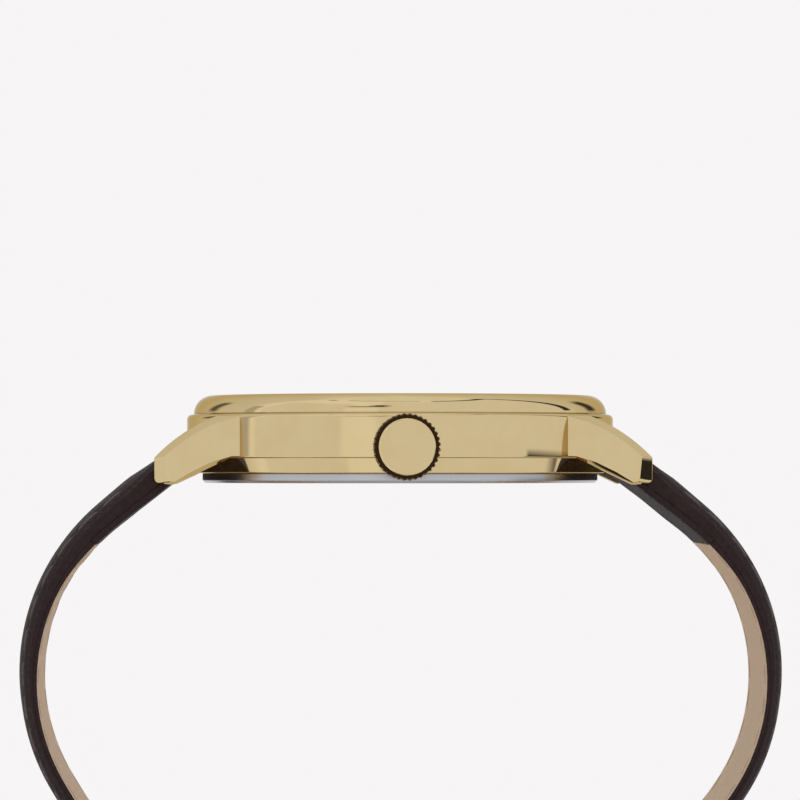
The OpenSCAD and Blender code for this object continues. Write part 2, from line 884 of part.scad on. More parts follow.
module coil_core() {
    color([0.6, 0.6, 0.62])
        translate([coil_x - core_w / 2, coil_y - coil_half - 1.2, core_z])
            cube([core_w, 2 * coil_half + 2.4, core_h]);
}
module coil_winding() {
    color([0.72, 0.35, 0.18])
        difference() {
            y_rod(winding_r, coil_y - winding_half, coil_y + winding_half, coil_x, winding_z,
                $fn = 48);
            translate([coil_x - core_w / 2 - press_gap, coil_y - coil_half - 1, core_z - press_gap])
                cube([core_w + 2 * press_gap, 2 * coil_half + 2, core_h + 2 * press_gap]);
        }
}
module stator() {
    color([0.62, 0.62, 0.6])
        difference() {
            translate([0, 0, stator_z])
                linear_extrude(stator_t)
                    union() {
                        translate(rotor_at)
                            circle(r = rotor_ring_r, $fn = 64);
                        for (side = [-1, 1])
                            stator_arm(side);
                    }
            translate([rotor_at[0], rotor_at[1], stator_z - 1])
                cylinder(r = rotor_well_r, h = 2, $fn = 48);
        }
}

// The arm from the ring round the rotor to the pad under one end of the coil's core.
module stator_arm(side) {
    pad_y = coil_y + side * (coil_half + 0.75);
    start = rotor_at + [0.6, side * 1.2];
    near_x = coil_x - winding_r - 0.2;
    far_x = coil_x + 0.5;
    outline = [
        start + [-0.2, side * 0.2],
        start + [0.4, -side * 0.6],
        [near_x, pad_y - side * stator_pad],
        [far_x, pad_y - side * stator_pad],
        [far_x, pad_y + side * stator_pad],
        [near_x - 0.3, pad_y + side * stator_pad]
    ];
    last = len(outline) - 1;
    polygon([for (i = [0:last]) outline[side > 0 ? i : last - i]]);
}

// Going train, below the main plate.
module rotor() {
    color(plastic)
        translate([rotor_at[0], rotor_at[1], 0]) {
            arbor(arbor_r);
            translate([0, 0, 1.9])
                cylinder(r = 0.72, h = 0.5, $fn = 48);
            gear(8, rotor_mod, gap_phase(rotor_dir, 8), 2.55, 0.35);
        }
}
module fifth_wheel() {
    color(brass)
        translate([fifth_at[0], fifth_at[1], 0]) {
            arbor(arbor_r - press_gap);
            gear(48, rotor_mod, rotor_dir, 2.62, 0.15);
            gear(8, fourth_mod, gap_phase(fifth_dir, 8), 1.82, 0.4);
        }
}
module fourth_wheel() {
    color(brass) {
        translate([0, 0, bridge_z + 0.03])
            cylinder(r = pivot_r, h = second_hand_z + second_hand_t + 0.04 - bridge_z - 0.03, $fn = 24);
        translate([0, 0, arbor_z])
            cylinder(r = arbor_r, h = 0.95, $fn = 24);
        gear(40, fourth_mod, fifth_dir, 1.94, 0.15);
        gear(8, train_mod, 150 + 22.5, 2.2, 0.42);
    }
}
module third_wheel() {
    color(brass)
        translate([third_at[0], third_at[1], 0]) {
            arbor(arbor_r);
            gear(60, train_mod, 150 + 180, 2.33, 0.15);
            gear(8, centre_mod, 150 + 180 + 22.5, 2.76, 0.34);
        }
}
module centre_wheel() {
    color(brass)
        difference() {
            union() {
                gear(64, centre_mod, 150, 2.86, 0.15);
                translate([0, 0, 2.8])
                    cylinder(r = centre_hub_r, h = 0.08, $fn = 32);
                translate([0, 0, 2.8])
                    cylinder(r = centre_tube_r, h = minute_hand_z + minute_hand_t + 0.05 - 2.8,
                        $fn = 32);
            }
            translate([0, 0, 2])
                cylinder(r = centre_bore_r, h = 6, $fn = 32);
        }
}
module cannon_pinion() {
    color(steel)
        difference() {
            union() {
                gear(12, motion_mod, minute_dir + 15, plate_top + 0.08, 0.3);
                translate([0, 0, 3.1])
                    cylinder(r = centre_pipe_r, h = minute_hand_z + minute_hand_t - 3.1, $fn = 48);
            }
            translate([0, 0, 2])
                cylinder(r = centre_tube_r + press_gap, h = 6, $fn = 32);
        }
}

// Motion works, between the main plate and the dial.
module minute_wheel() {
    color(brass)
        translate([minute_at[0], minute_at[1], 0])
            difference() {
                union() {
                    gear(36, motion_mod, minute_dir + 180, plate_top + 0.14, 0.14);
                    gear(10, hour_mod, minute_dir + 180, plate_top + 0.1, dial_z - plate_top - 0.16);
                }
                translate([0, 0, plate_top - 1])
                    cylinder(r = stud_bore_r, h = 3, $fn = 32);
            }
}
module hour_wheel() {
    color(brass)
        difference() {
            union() {
                gear(40, hour_mod, minute_dir + 4.5, plate_top + 0.46, 0.16);
                translate([0, 0, plate_top + 0.42])
                    cylinder(r = hour_pipe_r, h = hour_hand_z + hour_hand_t - plate_top - 0.38,
                        $fn = 48);
            }
            translate([0, 0, plate_top])
                cylinder(r = hour_bore_r, h = 3, $fn = 48);
        }
}

// The minute wheel's tooth nearest to the setting wheel stands this far past it.
setting_miss = 10 * round((setting_dir - minute_dir - 180) / 10) - (setting_dir - minute_dir - 180);
module setting_wheel() {
    color(brass)
        translate([setting_at[0], setting_at[1], 0])
            difference() {
                gear(20, motion_mod, gap_phase(setting_dir, 20) - setting_miss * 36 / 20,
                    plate_top + 0.14, 0.14);
                translate([0, 0, plate_top - 1])
                    cylinder(r = stud_bore_r, h = 3, $fn = 32);
            }
}
module setting_pinion() {
    color(steel)
        translate([0, -stem_in - 0.2, crown_z])
            rotate([90, 0, 0])
                difference() {
                    gear(12, 0.13, 0, 0, 0.9);
                    translate([0, 0, -1])
                        cylinder(r = stem_r, h = 4, $fn = 48);
                }
}

// Spring bars.
module bar_tube() {
    color(steel)
        difference() {
            y_rod(bar_r, -bar_half, bar_half, bar_x, bar_z);
            y_rod(pin_r + running_gap, -bar_half - 1, bar_half + 1, bar_x, bar_z);
        }
}
module bar_pin() {
    color(steel)
        translate([bar_x, -pin_tip, bar_z])
            rotate([-90, 0, 0])
                rotate_extrude($fn = 32)
                    polygon([[0, 0], [pin_r - 0.12, 0], [pin_r, 0.12], [pin_r, pin_len], [0, pin_len]]);
}
module bar_12_tube() { bar_tube(); }
module bar_12_pin_3h() { bar_pin(); }
module bar_12_pin_9h() { mirror([0, 1, 0]) bar_pin(); }
module bar_6_tube() { mirror([1, 0, 0]) bar_tube(); }
module bar_6_pin_3h() { mirror([1, 0, 0]) bar_pin(); }
module bar_6_pin_9h() { mirror([1, 0, 0]) mirror([0, 1, 0]) bar_pin(); }

// Coil springs inside the spring bars, drawn at the length they close up to.
spring_half = pin_tip - pin_len - pin_travel - 0.15;
spring_turns = 9;
spring_r = 0.28;
wire_r = 0.08;
function spring_ring(i, steps) =
    let (a = 360 * spring_turns * i / steps, y = -spring_half + 2 * spring_half * i / steps)
    [for (k = [0:5])
        [
            bar_x + (spring_r + wire_r * cos(60 * k)) * cos(a),
            y + wire_r * sin(60 * k),
            bar_z + (spring_r + wire_r * cos(60 * k)) * sin(a)
        ]];
module bar_springs() {
    steps = spring_turns * 10;
    color(steel)
        for (side = [0, 1])
            mirror([side, 0, 0])
                loft([for (i = [0:steps]) spring_ring(i, steps)]);
}

// Strap.
module place_on(route, s, n = 0) {
    at = route_at(route, s);
    translate([at[0] + n * sin(at[2]), 0, at[1] + n * cos(at[2])])
        rotate([0, at[2], 0])
            children();
}
function lug_fold(route) =
    concat(
        [for (s = stations(1.2, fold_len - 0.1, -1))
            fold_ring(route, strap_w / 2, s, 0, lining_t)],
        [for (a = [180:-15:15])
            turn_ring(route, strap_w / 2, 0, inner_offset, -1, loop_bore_r,
                ramp(a, 0, 180, loop_r, inner_offset), a)]
    );
function buckle_fold(route, length) =
    let (half = strap_end_w / 2)
    concat(
        [for (a = [15:15:180])
            turn_ring(route, half, length, loop_n, 1, end_bore_r, end_loop_r, a)],
        [for (s = [1.5, 3, end_fold])
            fold_ring(route, half, length - s, ramp(s, 0, 3, loop_n - end_loop_r, 0),
                ramp(s, 0, 3, end_loop_r - end_bore_r, lining_t))]
    );
module upper_leather(route, length, tip, ending) {
    flat = len(ending) > 0 ? 1 : 0;
    loft(concat(
        lug_fold(route),
        [for (s = concat([0, bar_clear], stations(margin_run, length - margin_run),
                [length - bar_clear, length]))
            upper_ring(route, s, half_width(s, length) * tip_share(s, length, tip),
                ramp(s, length - 6, length - 1, 0, flat),
                ramp(s, bar_clear, margin_run, 0, 1)
                    * (1 - ramp(s, length - margin_run, length - bar_clear, 0, flat)))],
        ending
    ));
}
module strap_filler(route, length, to) {
    loft([for (s = stations(3.5, to)) filler_ring(route, s, half_width(s, length))]);
}
module strap_lining(route, length, to, tip) {
    loft([for (s = stations(fold_len, to))
        lining_ring(route, s, half_width(s, length) * tip_share(s, length, tip))]);
}
module buckle_slot() {
    place_on(short_route, short_len)
        translate([-slot_len, -slot_half, -2])
            cube([slot_len + 4, 2 * slot_half, 8]);
}
module buckle_holes() {
    for (i = [0:hole_count - 1])
        place_on(long_route, first_hole + i * hole_pitch, -1)
            cylinder(r = hole_r, h = 5, $fn = 32);
}
module strap_12_upper() {
    color(leather)
        difference() {
            upper_leather(short_route, short_len, 0, buckle_fold(short_route, short_len));
            buckle_slot();
        }
}
module strap_12_filler() {
    color(tan_leather)
        strap_filler(short_route, short_len, pad_end);
}
module strap_12_lining() {
    color(tan_leather)
        strap_lining(short_route, short_len, short_len - end_fold - 0.1, 0);
}
module strap_6_upper() {
    color(leather)
        mirror([1, 0, 0])
            difference() {
                upper_leather(long_route, long_len, tip_len, []);
                buckle_holes();
            }
}
module strap_6_filler() {
    color(tan_leather)
        mirror([1, 0, 0])
            strap_filler(long_route, long_len, first_hole - 4);
}
module strap_6_lining() {
    color(tan_leather)
        mirror([1, 0, 0])
            difference() {
                strap_lining(long_route, long_len, long_len, tip_len);
                buckle_holes();
            }
}
module keeper(s) {
    half = half_width(s - keeper_len / 2, short_len) + keeper_gap;
    top = middle_t(s) + tail_t + keeper_gap;
    color(leather)
        place_on(short_route, s)
            translate([keeper_len / 2, 0, 0])
                rotate([0, -90, 0])
                    linear_extrude(keeper_len)
                        difference() {
                            translate([-keeper_gap - keeper_t, -half - keeper_t])
                                square([top + keeper_gap + 2 * keeper_t, 2 * (half + keeper_t)]);
                            translate([-keeper_gap, -half])
                                square([top + keeper_gap, 2 * half]);
                        }
}
module fixed_keeper() { keeper(fixed_keeper_s); }
module free_keeper() { keeper(free_keeper_s); }

// Buckle.
module at_buckle() {
    place_on(short_route, short_len, loop_n)
        children();
}
module buckle_outline(half, from, to, corner) {
    translate([from, -half])
        square([to - from - corner, 2 * half]);
    translate([from, -half + corner])
        square([to - from, 2 * (half - corner)]);
    for (side = [-1, 1])
        translate([to - corner, side * (half - corner)])
            circle(r = corner, $fn = 64);
}
module buckle_frame() {
    half = buckle_in_w / 2;
    color(gold)
        at_buckle()
            difference() {
                translate([0, 0, -buckle_rim_h / 2])
                    linear_extrude(buckle_rim_h)
                        difference() {
                            buckle_outline(half + buckle_ear, 0, buckle_window + buckle_rim,
                                buckle_corner);
                            translate([-2, 0])
                                buckle_outline(half, 0, buckle_window + 2, 1);
                        }
                y_rod(buckle_bar_r - 0.15, -half - buckle_ear + 0.5, half + buckle_ear - 0.5);
            }
}
module buckle_bar() {
    half = buckle_in_w / 2;
    color(steel)
        at_buckle() {
            y_rod(buckle_bar_r, -half + 0.05, half - 0.05);
            y_rod(buckle_bar_r - 0.2, -half - buckle_ear + 0.6, half + buckle_ear - 0.6);
        }
}
module buckle_tang() {
    color(gold)
        at_buckle()
            difference() {
                union() {
                    y_rod(tang_eye_r, -tang_w / 2, tang_w / 2);
                    rotate([90, 0, 0])
                        linear_extrude(tang_w, center = true)
                            polygon([
                                [0, tang_eye_r - tang_t],
                                [0, tang_eye_r],
                                [buckle_window + 1.6, tang_eye_r + 0.75],
                                [buckle_window + 1.9, tang_eye_r + 0.3],
                                [buckle_window + 1.6, tang_eye_r - 0.2],
                                [buckle_window * 0.6, tang_eye_r - tang_t + 0.1]
                            ]);
                }
                y_rod(buckle_bar_r + running_gap, -tang_w, tang_w);
            }
}

mid_case();
bezel();
crystal();
crystal_gasket();
dial_flange();
case_back();
case_back_gasket();
crown_tube();
crown();
crown_gasket();
setting_stem();
dial();
hour_markers();
hour_hand();
minute_hand();
second_hand();
movement_ring();
main_plate();
train_bridge();
movement_screws();
battery();
battery_clamp();
circuit_board();
quartz_can();
ic_chip();
coil_core();
coil_winding();
stator();
rotor();
fifth_wheel();
fourth_wheel();
third_wheel();
centre_wheel();
cannon_pinion();
minute_wheel();
hour_wheel();
setting_wheel();
setting_pinion();
bar_12_tube();
bar_12_pin_3h();
bar_12_pin_9h();
bar_6_tube();
bar_6_pin_3h();
bar_6_pin_9h();
bar_springs();
strap_12_upper();
strap_12_filler();
strap_12_lining();
strap_6_upper();
strap_6_filler();
strap_6_lining();
fixed_keeper();
free_keeper();
buckle_frame();
buckle_tang();
buckle_bar();
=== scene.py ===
"""Looks of a slim gold dress watch on a padded leather strap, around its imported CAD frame.

Built in millimetres and scaled to metres as each mesh is made. The crown faces -Y, 12 o'clock
is +X and the crystal faces +Z.
"""

import math
import random

import bmesh
import bpy
import numpy as np
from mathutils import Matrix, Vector


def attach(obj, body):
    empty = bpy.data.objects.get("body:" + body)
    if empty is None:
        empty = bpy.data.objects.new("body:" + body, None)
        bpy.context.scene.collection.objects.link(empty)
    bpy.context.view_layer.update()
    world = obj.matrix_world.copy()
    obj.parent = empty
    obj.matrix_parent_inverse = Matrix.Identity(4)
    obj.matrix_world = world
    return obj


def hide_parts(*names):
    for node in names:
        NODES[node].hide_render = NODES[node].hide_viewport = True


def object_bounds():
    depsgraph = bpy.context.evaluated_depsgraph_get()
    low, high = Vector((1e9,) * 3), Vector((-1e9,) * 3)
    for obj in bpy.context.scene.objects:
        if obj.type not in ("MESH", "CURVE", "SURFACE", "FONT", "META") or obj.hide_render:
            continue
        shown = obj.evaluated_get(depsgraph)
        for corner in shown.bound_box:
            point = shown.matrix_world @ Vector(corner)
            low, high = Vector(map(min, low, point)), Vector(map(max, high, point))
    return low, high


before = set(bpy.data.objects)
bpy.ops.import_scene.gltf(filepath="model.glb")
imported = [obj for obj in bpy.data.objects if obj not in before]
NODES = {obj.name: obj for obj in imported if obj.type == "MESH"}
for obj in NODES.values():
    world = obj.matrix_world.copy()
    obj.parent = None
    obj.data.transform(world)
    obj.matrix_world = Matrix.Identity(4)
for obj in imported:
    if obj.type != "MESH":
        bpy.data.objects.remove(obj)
cad_low, cad_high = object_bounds()
MM = 0.001
SMOOTH_ANGLE = math.radians(28)
CROWN_Z, CROWN_IN = 3.28, 20.45


# ---------------------------------------------------------------- camera, light and floor
CAMERA_DISTANCE = 0.500
CAMERA_AZIMUTH = -1.6
CAMERA_HEIGHT = 0.00166
CAMERA_PITCH = 0.70
LENS = 239.4
SENSOR = 36.0
BACKDROP = (0.930, 0.913, 0.922)


def make_camera():
    """A long lens at the height of the case back, looking at the crown side."""
    a = math.radians(CAMERA_AZIMUTH)
    data = bpy.data.cameras.new("camera")
    data.lens = LENS
    data.sensor_width = SENSOR
    data.clip_start = 0.01
    data.clip_end = 20
    camera = bpy.data.objects.new("camera", data)
    camera.location = (
        CAMERA_DISTANCE * math.sin(a), -CAMERA_DISTANCE * math.cos(a), CAMERA_HEIGHT,
    )
    camera.rotation_euler = (math.radians(90 + CAMERA_PITCH), 0, a)
    bpy.context.scene.collection.objects.link(camera)
    bpy.context.scene.camera = camera


def make_world():
    """An even pale studio all round."""
    world = bpy.data.worlds.new("studio")
    world.use_nodes = True
    back = world.node_tree.nodes["Background"]
    back.inputs["Color"].default_value = (*BACKDROP, 1)
    back.inputs["Strength"].default_value = 1
    bpy.context.scene.world = world
    bpy.context.scene.view_settings.view_transform = "Standard"
    bpy.context.scene.view_settings.look = "None"


# Soft boxes and black flags round the watch, as they show in its polished metal. Each is a
# patch of sky: bearing from and to in degrees (0 towards the camera, positive to its right),
# elevation from and to, softness of its edges and its shade.
STUDIO_SHADE = 0.97
STUDIO = [
    (-181, 181, 72, 91, 5, 0.90),
    (-96, -181, -91, 70, 5, 0.78),
    (96, 181, -91, 70, 5, 0.78),
    (-181, 181, -91, -62, 6, 0.55),
    (-86, -33, -40, 50, 1.6, 0.86),
    (-14, 112, -60, 63, 1.6, 0.865),
    (-98, -90, -8, 30, 1.5, 0.55),
    (-60, 20, 67.5, 70.0, 0.8, 0.35),
    (30, 106, 65.0, 68.5, 1.0, 0.04),
    (-84, -72, 66, 68.5, 0.8, 0.12),
    (103, 109.5, 10, 67, 1.0, 0.04),
    (128, 140, 6, 30, 3.0, 0.06),
    (-136, -126, 6, 30, 3.0, 0.14),
    (-33, -17, 31, 36, 2.5, 0.15),
    (-19, -9, 32, 43, 3.0, 0.06),
    (70, 100, -24, -3, 1.0, 0.03),
    (-172, -142, -56, -24, 2.0, 0.03),
    (-80, -12, -66, -57, 1.2, 0.25),
]


def make_studio():
    """A shell seen only in reflections, which carries the soft boxes and flags."""
    bands, turns, radius = 24, 48, 1.6
    points = [
        (radius * math.cos(e) * math.cos(a), radius * math.cos(e) * math.sin(a), radius * math.sin(e))
        for e in (math.pi * (i / bands - 0.5) for i in range(bands + 1))
        for a in (2 * math.pi * j / turns for j in range(turns))
    ]
    faces = [
        (i * turns + j, i * turns + (j + 1) % turns, (i + 1) * turns + (j + 1) % turns, (i + 1) * turns + j)
        for i in range(bands) for j in range(turns)
    ]
    mesh = bpy.data.meshes.new("studio_shell")
    mesh.from_pydata(points, [], faces)
    shell = bpy.data.objects.new("studio_shell", mesh)
    shell.visible_camera = False
    shell.visible_diffuse = False
    shell.visible_shadow = False
    shell.visible_transmission = False
    bpy.context.scene.collection.objects.link(shell)
    paint = Paint("studio_sky")
    tree = paint.tree
    split = tree.nodes.new("ShaderNodeSeparateXYZ")
    unit = tree.nodes.new("ShaderNodeVectorMath")
    unit.operation = "NORMALIZE"
    place = tree.nodes.new("ShaderNodeTexCoord")
    paint.link(place.outputs["Object"], unit.inputs[0])
    paint.link(unit.outputs[0], split.inputs[0])
    right, back, up = split.outputs
    forward = paint.maths("MULTIPLY", back, -1.0)
    bearing = paint.maths("MULTIPLY", paint.maths("ARCTAN2", right, forward), 180 / math.pi)
    height = paint.maths("MULTIPLY", paint.maths("ARCSINE", up, 0), 180 / math.pi)
    shade = None
    for a0, a1, e0, e1, soft, level in STUDIO:
        a0, a1 = min(a0, a1), max(a0, a1)
        across = paint.maths(
            "MULTIPLY", paint.span(bearing, a0 - soft, a0 + soft), paint.span(bearing, a1 + soft, a1 - soft))
        upward = paint.maths(
            "MULTIPLY", paint.span(height, e0 - soft, e0 + soft), paint.span(height, e1 + soft, e1 - soft))
        inside = paint.maths("MULTIPLY", across, upward)
        mix = tree.nodes.new("ShaderNodeMix")
        paint.link(inside, mix.inputs[0])
        if shade is None:
            mix.inputs[2].default_value = STUDIO_SHADE
        else:
            paint.link(shade, mix.inputs[2])
        mix.inputs[3].default_value = level
        shade = mix.outputs[0]
    glow = tree.nodes.new("ShaderNodeEmission")
    glow.inputs["Color"].default_value = (1.0, 0.985, 0.97, 1)
    paint.link(shade, glow.inputs["Strength"])
    paint.link(glow.outputs[0], tree.nodes["Material Output"].inputs["Surface"])
    mesh.materials.append(paint.mat)


def make_floor():
    segments, radius = 96, 0.47
    z = cad_low.z - 0.0005
    ring = [
        (radius * math.cos(2 * math.pi * i / segments), radius * math.sin(2 * math.pi * i / segments), z)
        for i in range(segments)
    ]
    mesh = bpy.data.meshes.new("floor")
    mesh.from_pydata(ring, [], [tuple(range(segments))])
    floor = bpy.data.objects.new("floor", mesh)
    floor.visible_glossy = False
    bpy.context.scene.collection.objects.link(floor)
    paint = Paint("floor_paper")
    paint.set("Base Color", (0.93, 0.92, 0.925, 1))
    paint.set("Roughness", 0.9)
    paint.set("Specular IOR Level", 0.1)
    floor.data.materials.append(paint.mat)


# ---------------------------------------------------------------- materials
class Paint:
    """A Principled material with short calls for the procedural nodes it needs."""

    def __init__(self, name):
        self.mat = bpy.data.materials.new(name)
        self.mat.use_nodes = True
        self.tree = self.mat.node_tree
        self.shader = self.tree.nodes["Principled BSDF"]
        self.coords = None

    def set(self, socket, value):
        self.shader.inputs[socket].default_value = value

    def link(self, a, b):
        self.tree.links.new(a, b)

    def node(self, kind, **inputs):
        made = self.tree.nodes.new("ShaderNode" + kind)
        for key, value in inputs.items():
            made.inputs[key.replace("_", " ")].default_value = value
        return made

    def where(self, scale=(1, 1, 1), rotate=(0, 0, 0)):
        """Object coordinates in millimetres, stretched by scale."""
        if self.coords is None:
            self.coords = self.tree.nodes.new("ShaderNodeTexCoord")
        shift = self.node("Mapping")
        shift.inputs["Scale"].default_value = [1000 * v for v in scale]
        shift.inputs["Rotation"].default_value = rotate
        self.link(self.coords.outputs["Object"], shift.inputs["Vector"])
        return shift.outputs["Vector"]

    def noise(self, scale, detail=4, rough=0.55, where=None):
        made = self.node("TexNoise", Scale=scale, Detail=detail, Roughness=rough)
        self.link(where or self.where(), made.inputs["Vector"])
        return made.outputs["Fac"]

    def cells(self, scale, where=None, feature="F1", spread=1.0):
        made = self.tree.nodes.new("ShaderNodeTexVoronoi")
        made.feature = feature
        made.inputs["Scale"].default_value = scale
        made.inputs["Randomness"].default_value = spread
        self.link(where or self.where(), made.inputs["Vector"])
        return made.outputs["Distance"]

    def span(self, value, low, high, to_low=0.0, to_high=1.0):
        made = self.node("MapRange")
        for key, number in zip(("From Min", "From Max", "To Min", "To Max"), (low, high, to_low, to_high)):
            made.inputs[key].default_value = number
        self.link(value, made.inputs["Value"])
        return made.outputs["Result"]

    def maths(self, kind, a, b):
        made = self.tree.nodes.new("ShaderNodeMath")
        made.operation = kind
        for i, v in enumerate((a, b)):
            if isinstance(v, (int, float)):
                made.inputs[i].default_value = v
            else:
                self.link(v, made.inputs[i])
        return made.outputs[0]

    def mix(self, amount, a, b):
        """A colour between a and b, each a tuple or a socket."""
        made = self.tree.nodes.new("ShaderNodeMix")
        made.data_type = "RGBA"
        self.link(amount, made.inputs["Factor"])
        for key, v in ((6, a), (7, b)):
            if isinstance(v, tuple):
                made.inputs[key].default_value = (*v, 1)
            else:
                self.link(v, made.inputs[key])
        return made.outputs[2]

    def colour(self, socket):
        self.link(socket, self.shader.inputs["Base Color"])

    def rough(self, socket):
        self.link(socket, self.shader.inputs["Roughness"])

    def bump(self, height, strength, distance):
        made = self.node("Bump", Strength=strength, Distance=distance)
        self.link(height, made.inputs["Height"])
        last = self.shader.inputs["Normal"].links
        if last:
            self.link(last[0].from_socket, made.inputs["Normal"])
        self.link(made.outputs["Normal"], self.shader.inputs["Normal"])


def polished(name, base, dark, rough=0.05, tint=(1, 1, 1)):
    """Mirror-polished metal with faint hairlines and cloudy plating, tinted where seen edge on."""
    paint = Paint(name)
    paint.set("Metallic", 1.0)
    paint.set("Specular Tint", (*tint, 1))
    cloud = paint.noise(0.35, 3)
    paint.colour(paint.mix(paint.span(cloud, 0.35, 0.7), base, dark))
    hair = paint.noise(2.5, 6, 0.7, paint.where((1, 9, 9), (0, 0.3, 0.4)))
    paint.rough(paint.span(hair, 0.3, 0.8, rough * 0.7, rough * 1.8))
    paint.bump(hair, 0.02, 0.00001)
    return paint.mat


def brushed(name, base, dark, along=(0.15, 6, 6), rough=0.28, bump=0.12):
    """Satin metal with straight grain."""
    paint = Paint(name)
    paint.set("Metallic", 1.0)
    grain = paint.noise(3, 5, 0.65, paint.where(along))
    paint.colour(paint.mix(paint.span(grain, 0.3, 0.7), base, dark))
    paint.rough(paint.span(grain, 0.3, 0.75, rough * 0.75, rough * 1.3))
    paint.bump(grain, bump, 0.00003)
    return paint.mat


def ring_brushed(name, base, dark, rough=0.24):
    """Metal turned on a lathe, with grain round the Z axis."""
    paint = Paint(name)
    paint.set("Metallic", 1.0)
    where = paint.where()
    split = paint.tree.nodes.new("ShaderNodeSeparateXYZ")
    paint.link(where, split.inputs[0])
    x2 = paint.maths("MULTIPLY", split.outputs[0], split.outputs[0])
    y2 = paint.maths("MULTIPLY", split.outputs[1], split.outputs[1])
    radius = paint.maths("SQRT", paint.maths("ADD", x2, y2), 0)
    rings = paint.tree.nodes.new("ShaderNodeTexNoise")
    rings.noise_dimensions = "1D"
    rings.inputs["Scale"].default_value = 9
    rings.inputs["Detail"].default_value = 6
    paint.link(radius, rings.inputs["W"])
    grain = rings.outputs["Fac"]
    paint.colour(paint.mix(paint.span(grain, 0.3, 0.7), base, dark))
    paint.rough(paint.span(grain, 0.3, 0.7, rough * 0.7, rough * 1.4))
    paint.bump(grain, 0.15, 0.00003)
    return paint.mat


def grained_leather(name, base, dark, grain=1.0, rough=0.42, spec=0.45):
    """Calf leather: pebble grain, fine creases, darker pores and a soft sheen."""
    paint = Paint(name)
    pebble = paint.cells(2.6 * grain)
    fine = paint.noise(5 * grain, 6, 0.6)
    crease = paint.cells(0.55 * grain, paint.where((1.0, 0.35, 1.0)), "DISTANCE_TO_EDGE")
    pores = paint.span(pebble, 0.1, 0.6)
    tone = paint.maths("ADD", paint.maths("MULTIPLY", pores, 0.5), paint.maths("MULTIPLY", fine, 0.5))
    paint.colour(paint.mix(paint.span(tone, 0.25, 0.75), base, dark))
    paint.rough(paint.span(fine, 0.3, 0.75, rough * 0.8, rough * 1.3))
    paint.set("Specular IOR Level", spec)
    paint.bump(pebble, 0.25, 0.00006)
    paint.bump(fine, 0.25, 0.00004)
    paint.bump(paint.span(crease, 0.0, 0.06), 0.12, 0.00006)
    return paint.mat


def painted_edge(name, base, dark):
    """Burnished, painted strap edge: smoother than the grain, with faint layers."""
    paint = Paint(name)
    layer = paint.noise(2.2, 4, 0.6)
    paint.colour(paint.mix(paint.span(layer, 0.35, 0.7), base, dark))
    paint.rough(paint.span(layer, 0.3, 0.8, 0.4, 0.62))
    paint.set("Specular IOR Level", 0.12)
    paint.bump(layer, 0.2, 0.00004)
    return paint.mat


def thread(name, base, dark):
    """Waxed twisted thread."""
    paint = Paint(name)
    twist = paint.noise(9, 3, 0.5, paint.where((1, 1, 1), (0.6, 0.6, 0)))
    paint.colour(paint.mix(paint.span(twist, 0.3, 0.7), base, dark))
    paint.rough(paint.span(twist, 0.3, 0.7, 0.45, 0.7))
    paint.bump(twist, 0.5, 0.00004)
    return paint.mat


def moulded(name, base, dark, rough=0.4, spec=0.5):
    """Moulded plastic or rubber with a fine spark-eroded grain."""
    paint = Paint(name)
    grain = paint.noise(7, 4, 0.6)
    cloud = paint.noise(0.4, 2)
    paint.colour(paint.mix(paint.span(cloud, 0.3, 0.7), base, dark))
    paint.rough(paint.span(grain, 0.3, 0.7, rough * 0.85, rough * 1.2))
    paint.set("Specular IOR Level", spec)
    paint.bump(grain, 0.15, 0.00003)
    return paint.mat


def sunray_lacquer(name, base, dark):
    """Dial lacquer over fine rays that run out from the centre."""
    paint = Paint(name)
    split = paint.tree.nodes.new("ShaderNodeSeparateXYZ")
    paint.link(paint.where(), split.inputs[0])
    angle = paint.maths("ARCTAN2", split.outputs[1], split.outputs[0])
    rays = paint.tree.nodes.new("ShaderNodeTexNoise")
    rays.noise_dimensions = "1D"
    rays.inputs["Scale"].default_value = 60
    rays.inputs["Detail"].default_value = 5
    paint.link(angle, rays.inputs["W"])
    paint.colour(paint.mix(paint.span(rays.outputs["Fac"], 0.3, 0.7), base, dark))
    paint.set("Metallic", 0.35)
    paint.rough(paint.span(rays.outputs["Fac"], 0.3, 0.7, 0.22, 0.38))
    paint.set("Coat Weight", 0.6)
    paint.set("Coat Roughness", 0.05)
    paint.bump(rays.outputs["Fac"], 0.1, 0.00002)
    return paint.mat


def clear_glass(name):
    """Flat mineral glass with a faint haze of hairline scratches."""
    paint = Paint(name)
    hair = paint.noise(3, 6, 0.7, paint.where((0.4, 5, 5), (0, 0, 0.5)))
    paint.set("Base Color", (0.97, 0.99, 1.0, 1))
    paint.set("Transmission Weight", 1.0)
    paint.set("IOR", 1.5)
    paint.rough(paint.span(hair, 0.45, 0.8, 0.0, 0.03))
    return paint.mat


def circuit(name):
    """Glass-fibre board with copper tracks under green varnish."""
    paint = Paint(name)
    track = paint.cells(0.9, None, "F1", 0.0)
    weave = paint.noise(6, 3)
    lines = paint.span(track, 0.30, 0.34)
    paint.colour(paint.mix(lines, (0.02, 0.12, 0.05), (0.05, 0.26, 0.10)))
    paint.rough(paint.span(weave, 0.3, 0.7, 0.25, 0.45))
    paint.bump(lines, 0.3, 0.00002)
    return paint.mat


def wound_wire(name):
    """Fine enamelled wire wound in even turns along Y, its colour dark in the grooves between turns and
    bright on each crest: painted shade and painted highlight.
    """
    paint = Paint(name)
    paint.set("Metallic", 0.9)
    wave = paint.tree.nodes.new("ShaderNodeTexWave")
    wave.bands_direction = "Y"
    wave.inputs["Scale"].default_value = 2.4
    wave.inputs["Distortion"].default_value = 0.3
    paint.link(paint.where(), wave.inputs["Vector"])
    # painted shade and highlight: the colour follows the same bands as the bump
    paint.colour(paint.mix(wave.outputs["Fac"], (0.30, 0.09, 0.03), (0.75, 0.30, 0.12)))
    paint.set("Roughness", 0.3)
    paint.bump(wave.outputs["Fac"], 0.6, 0.00005)
    return paint.mat


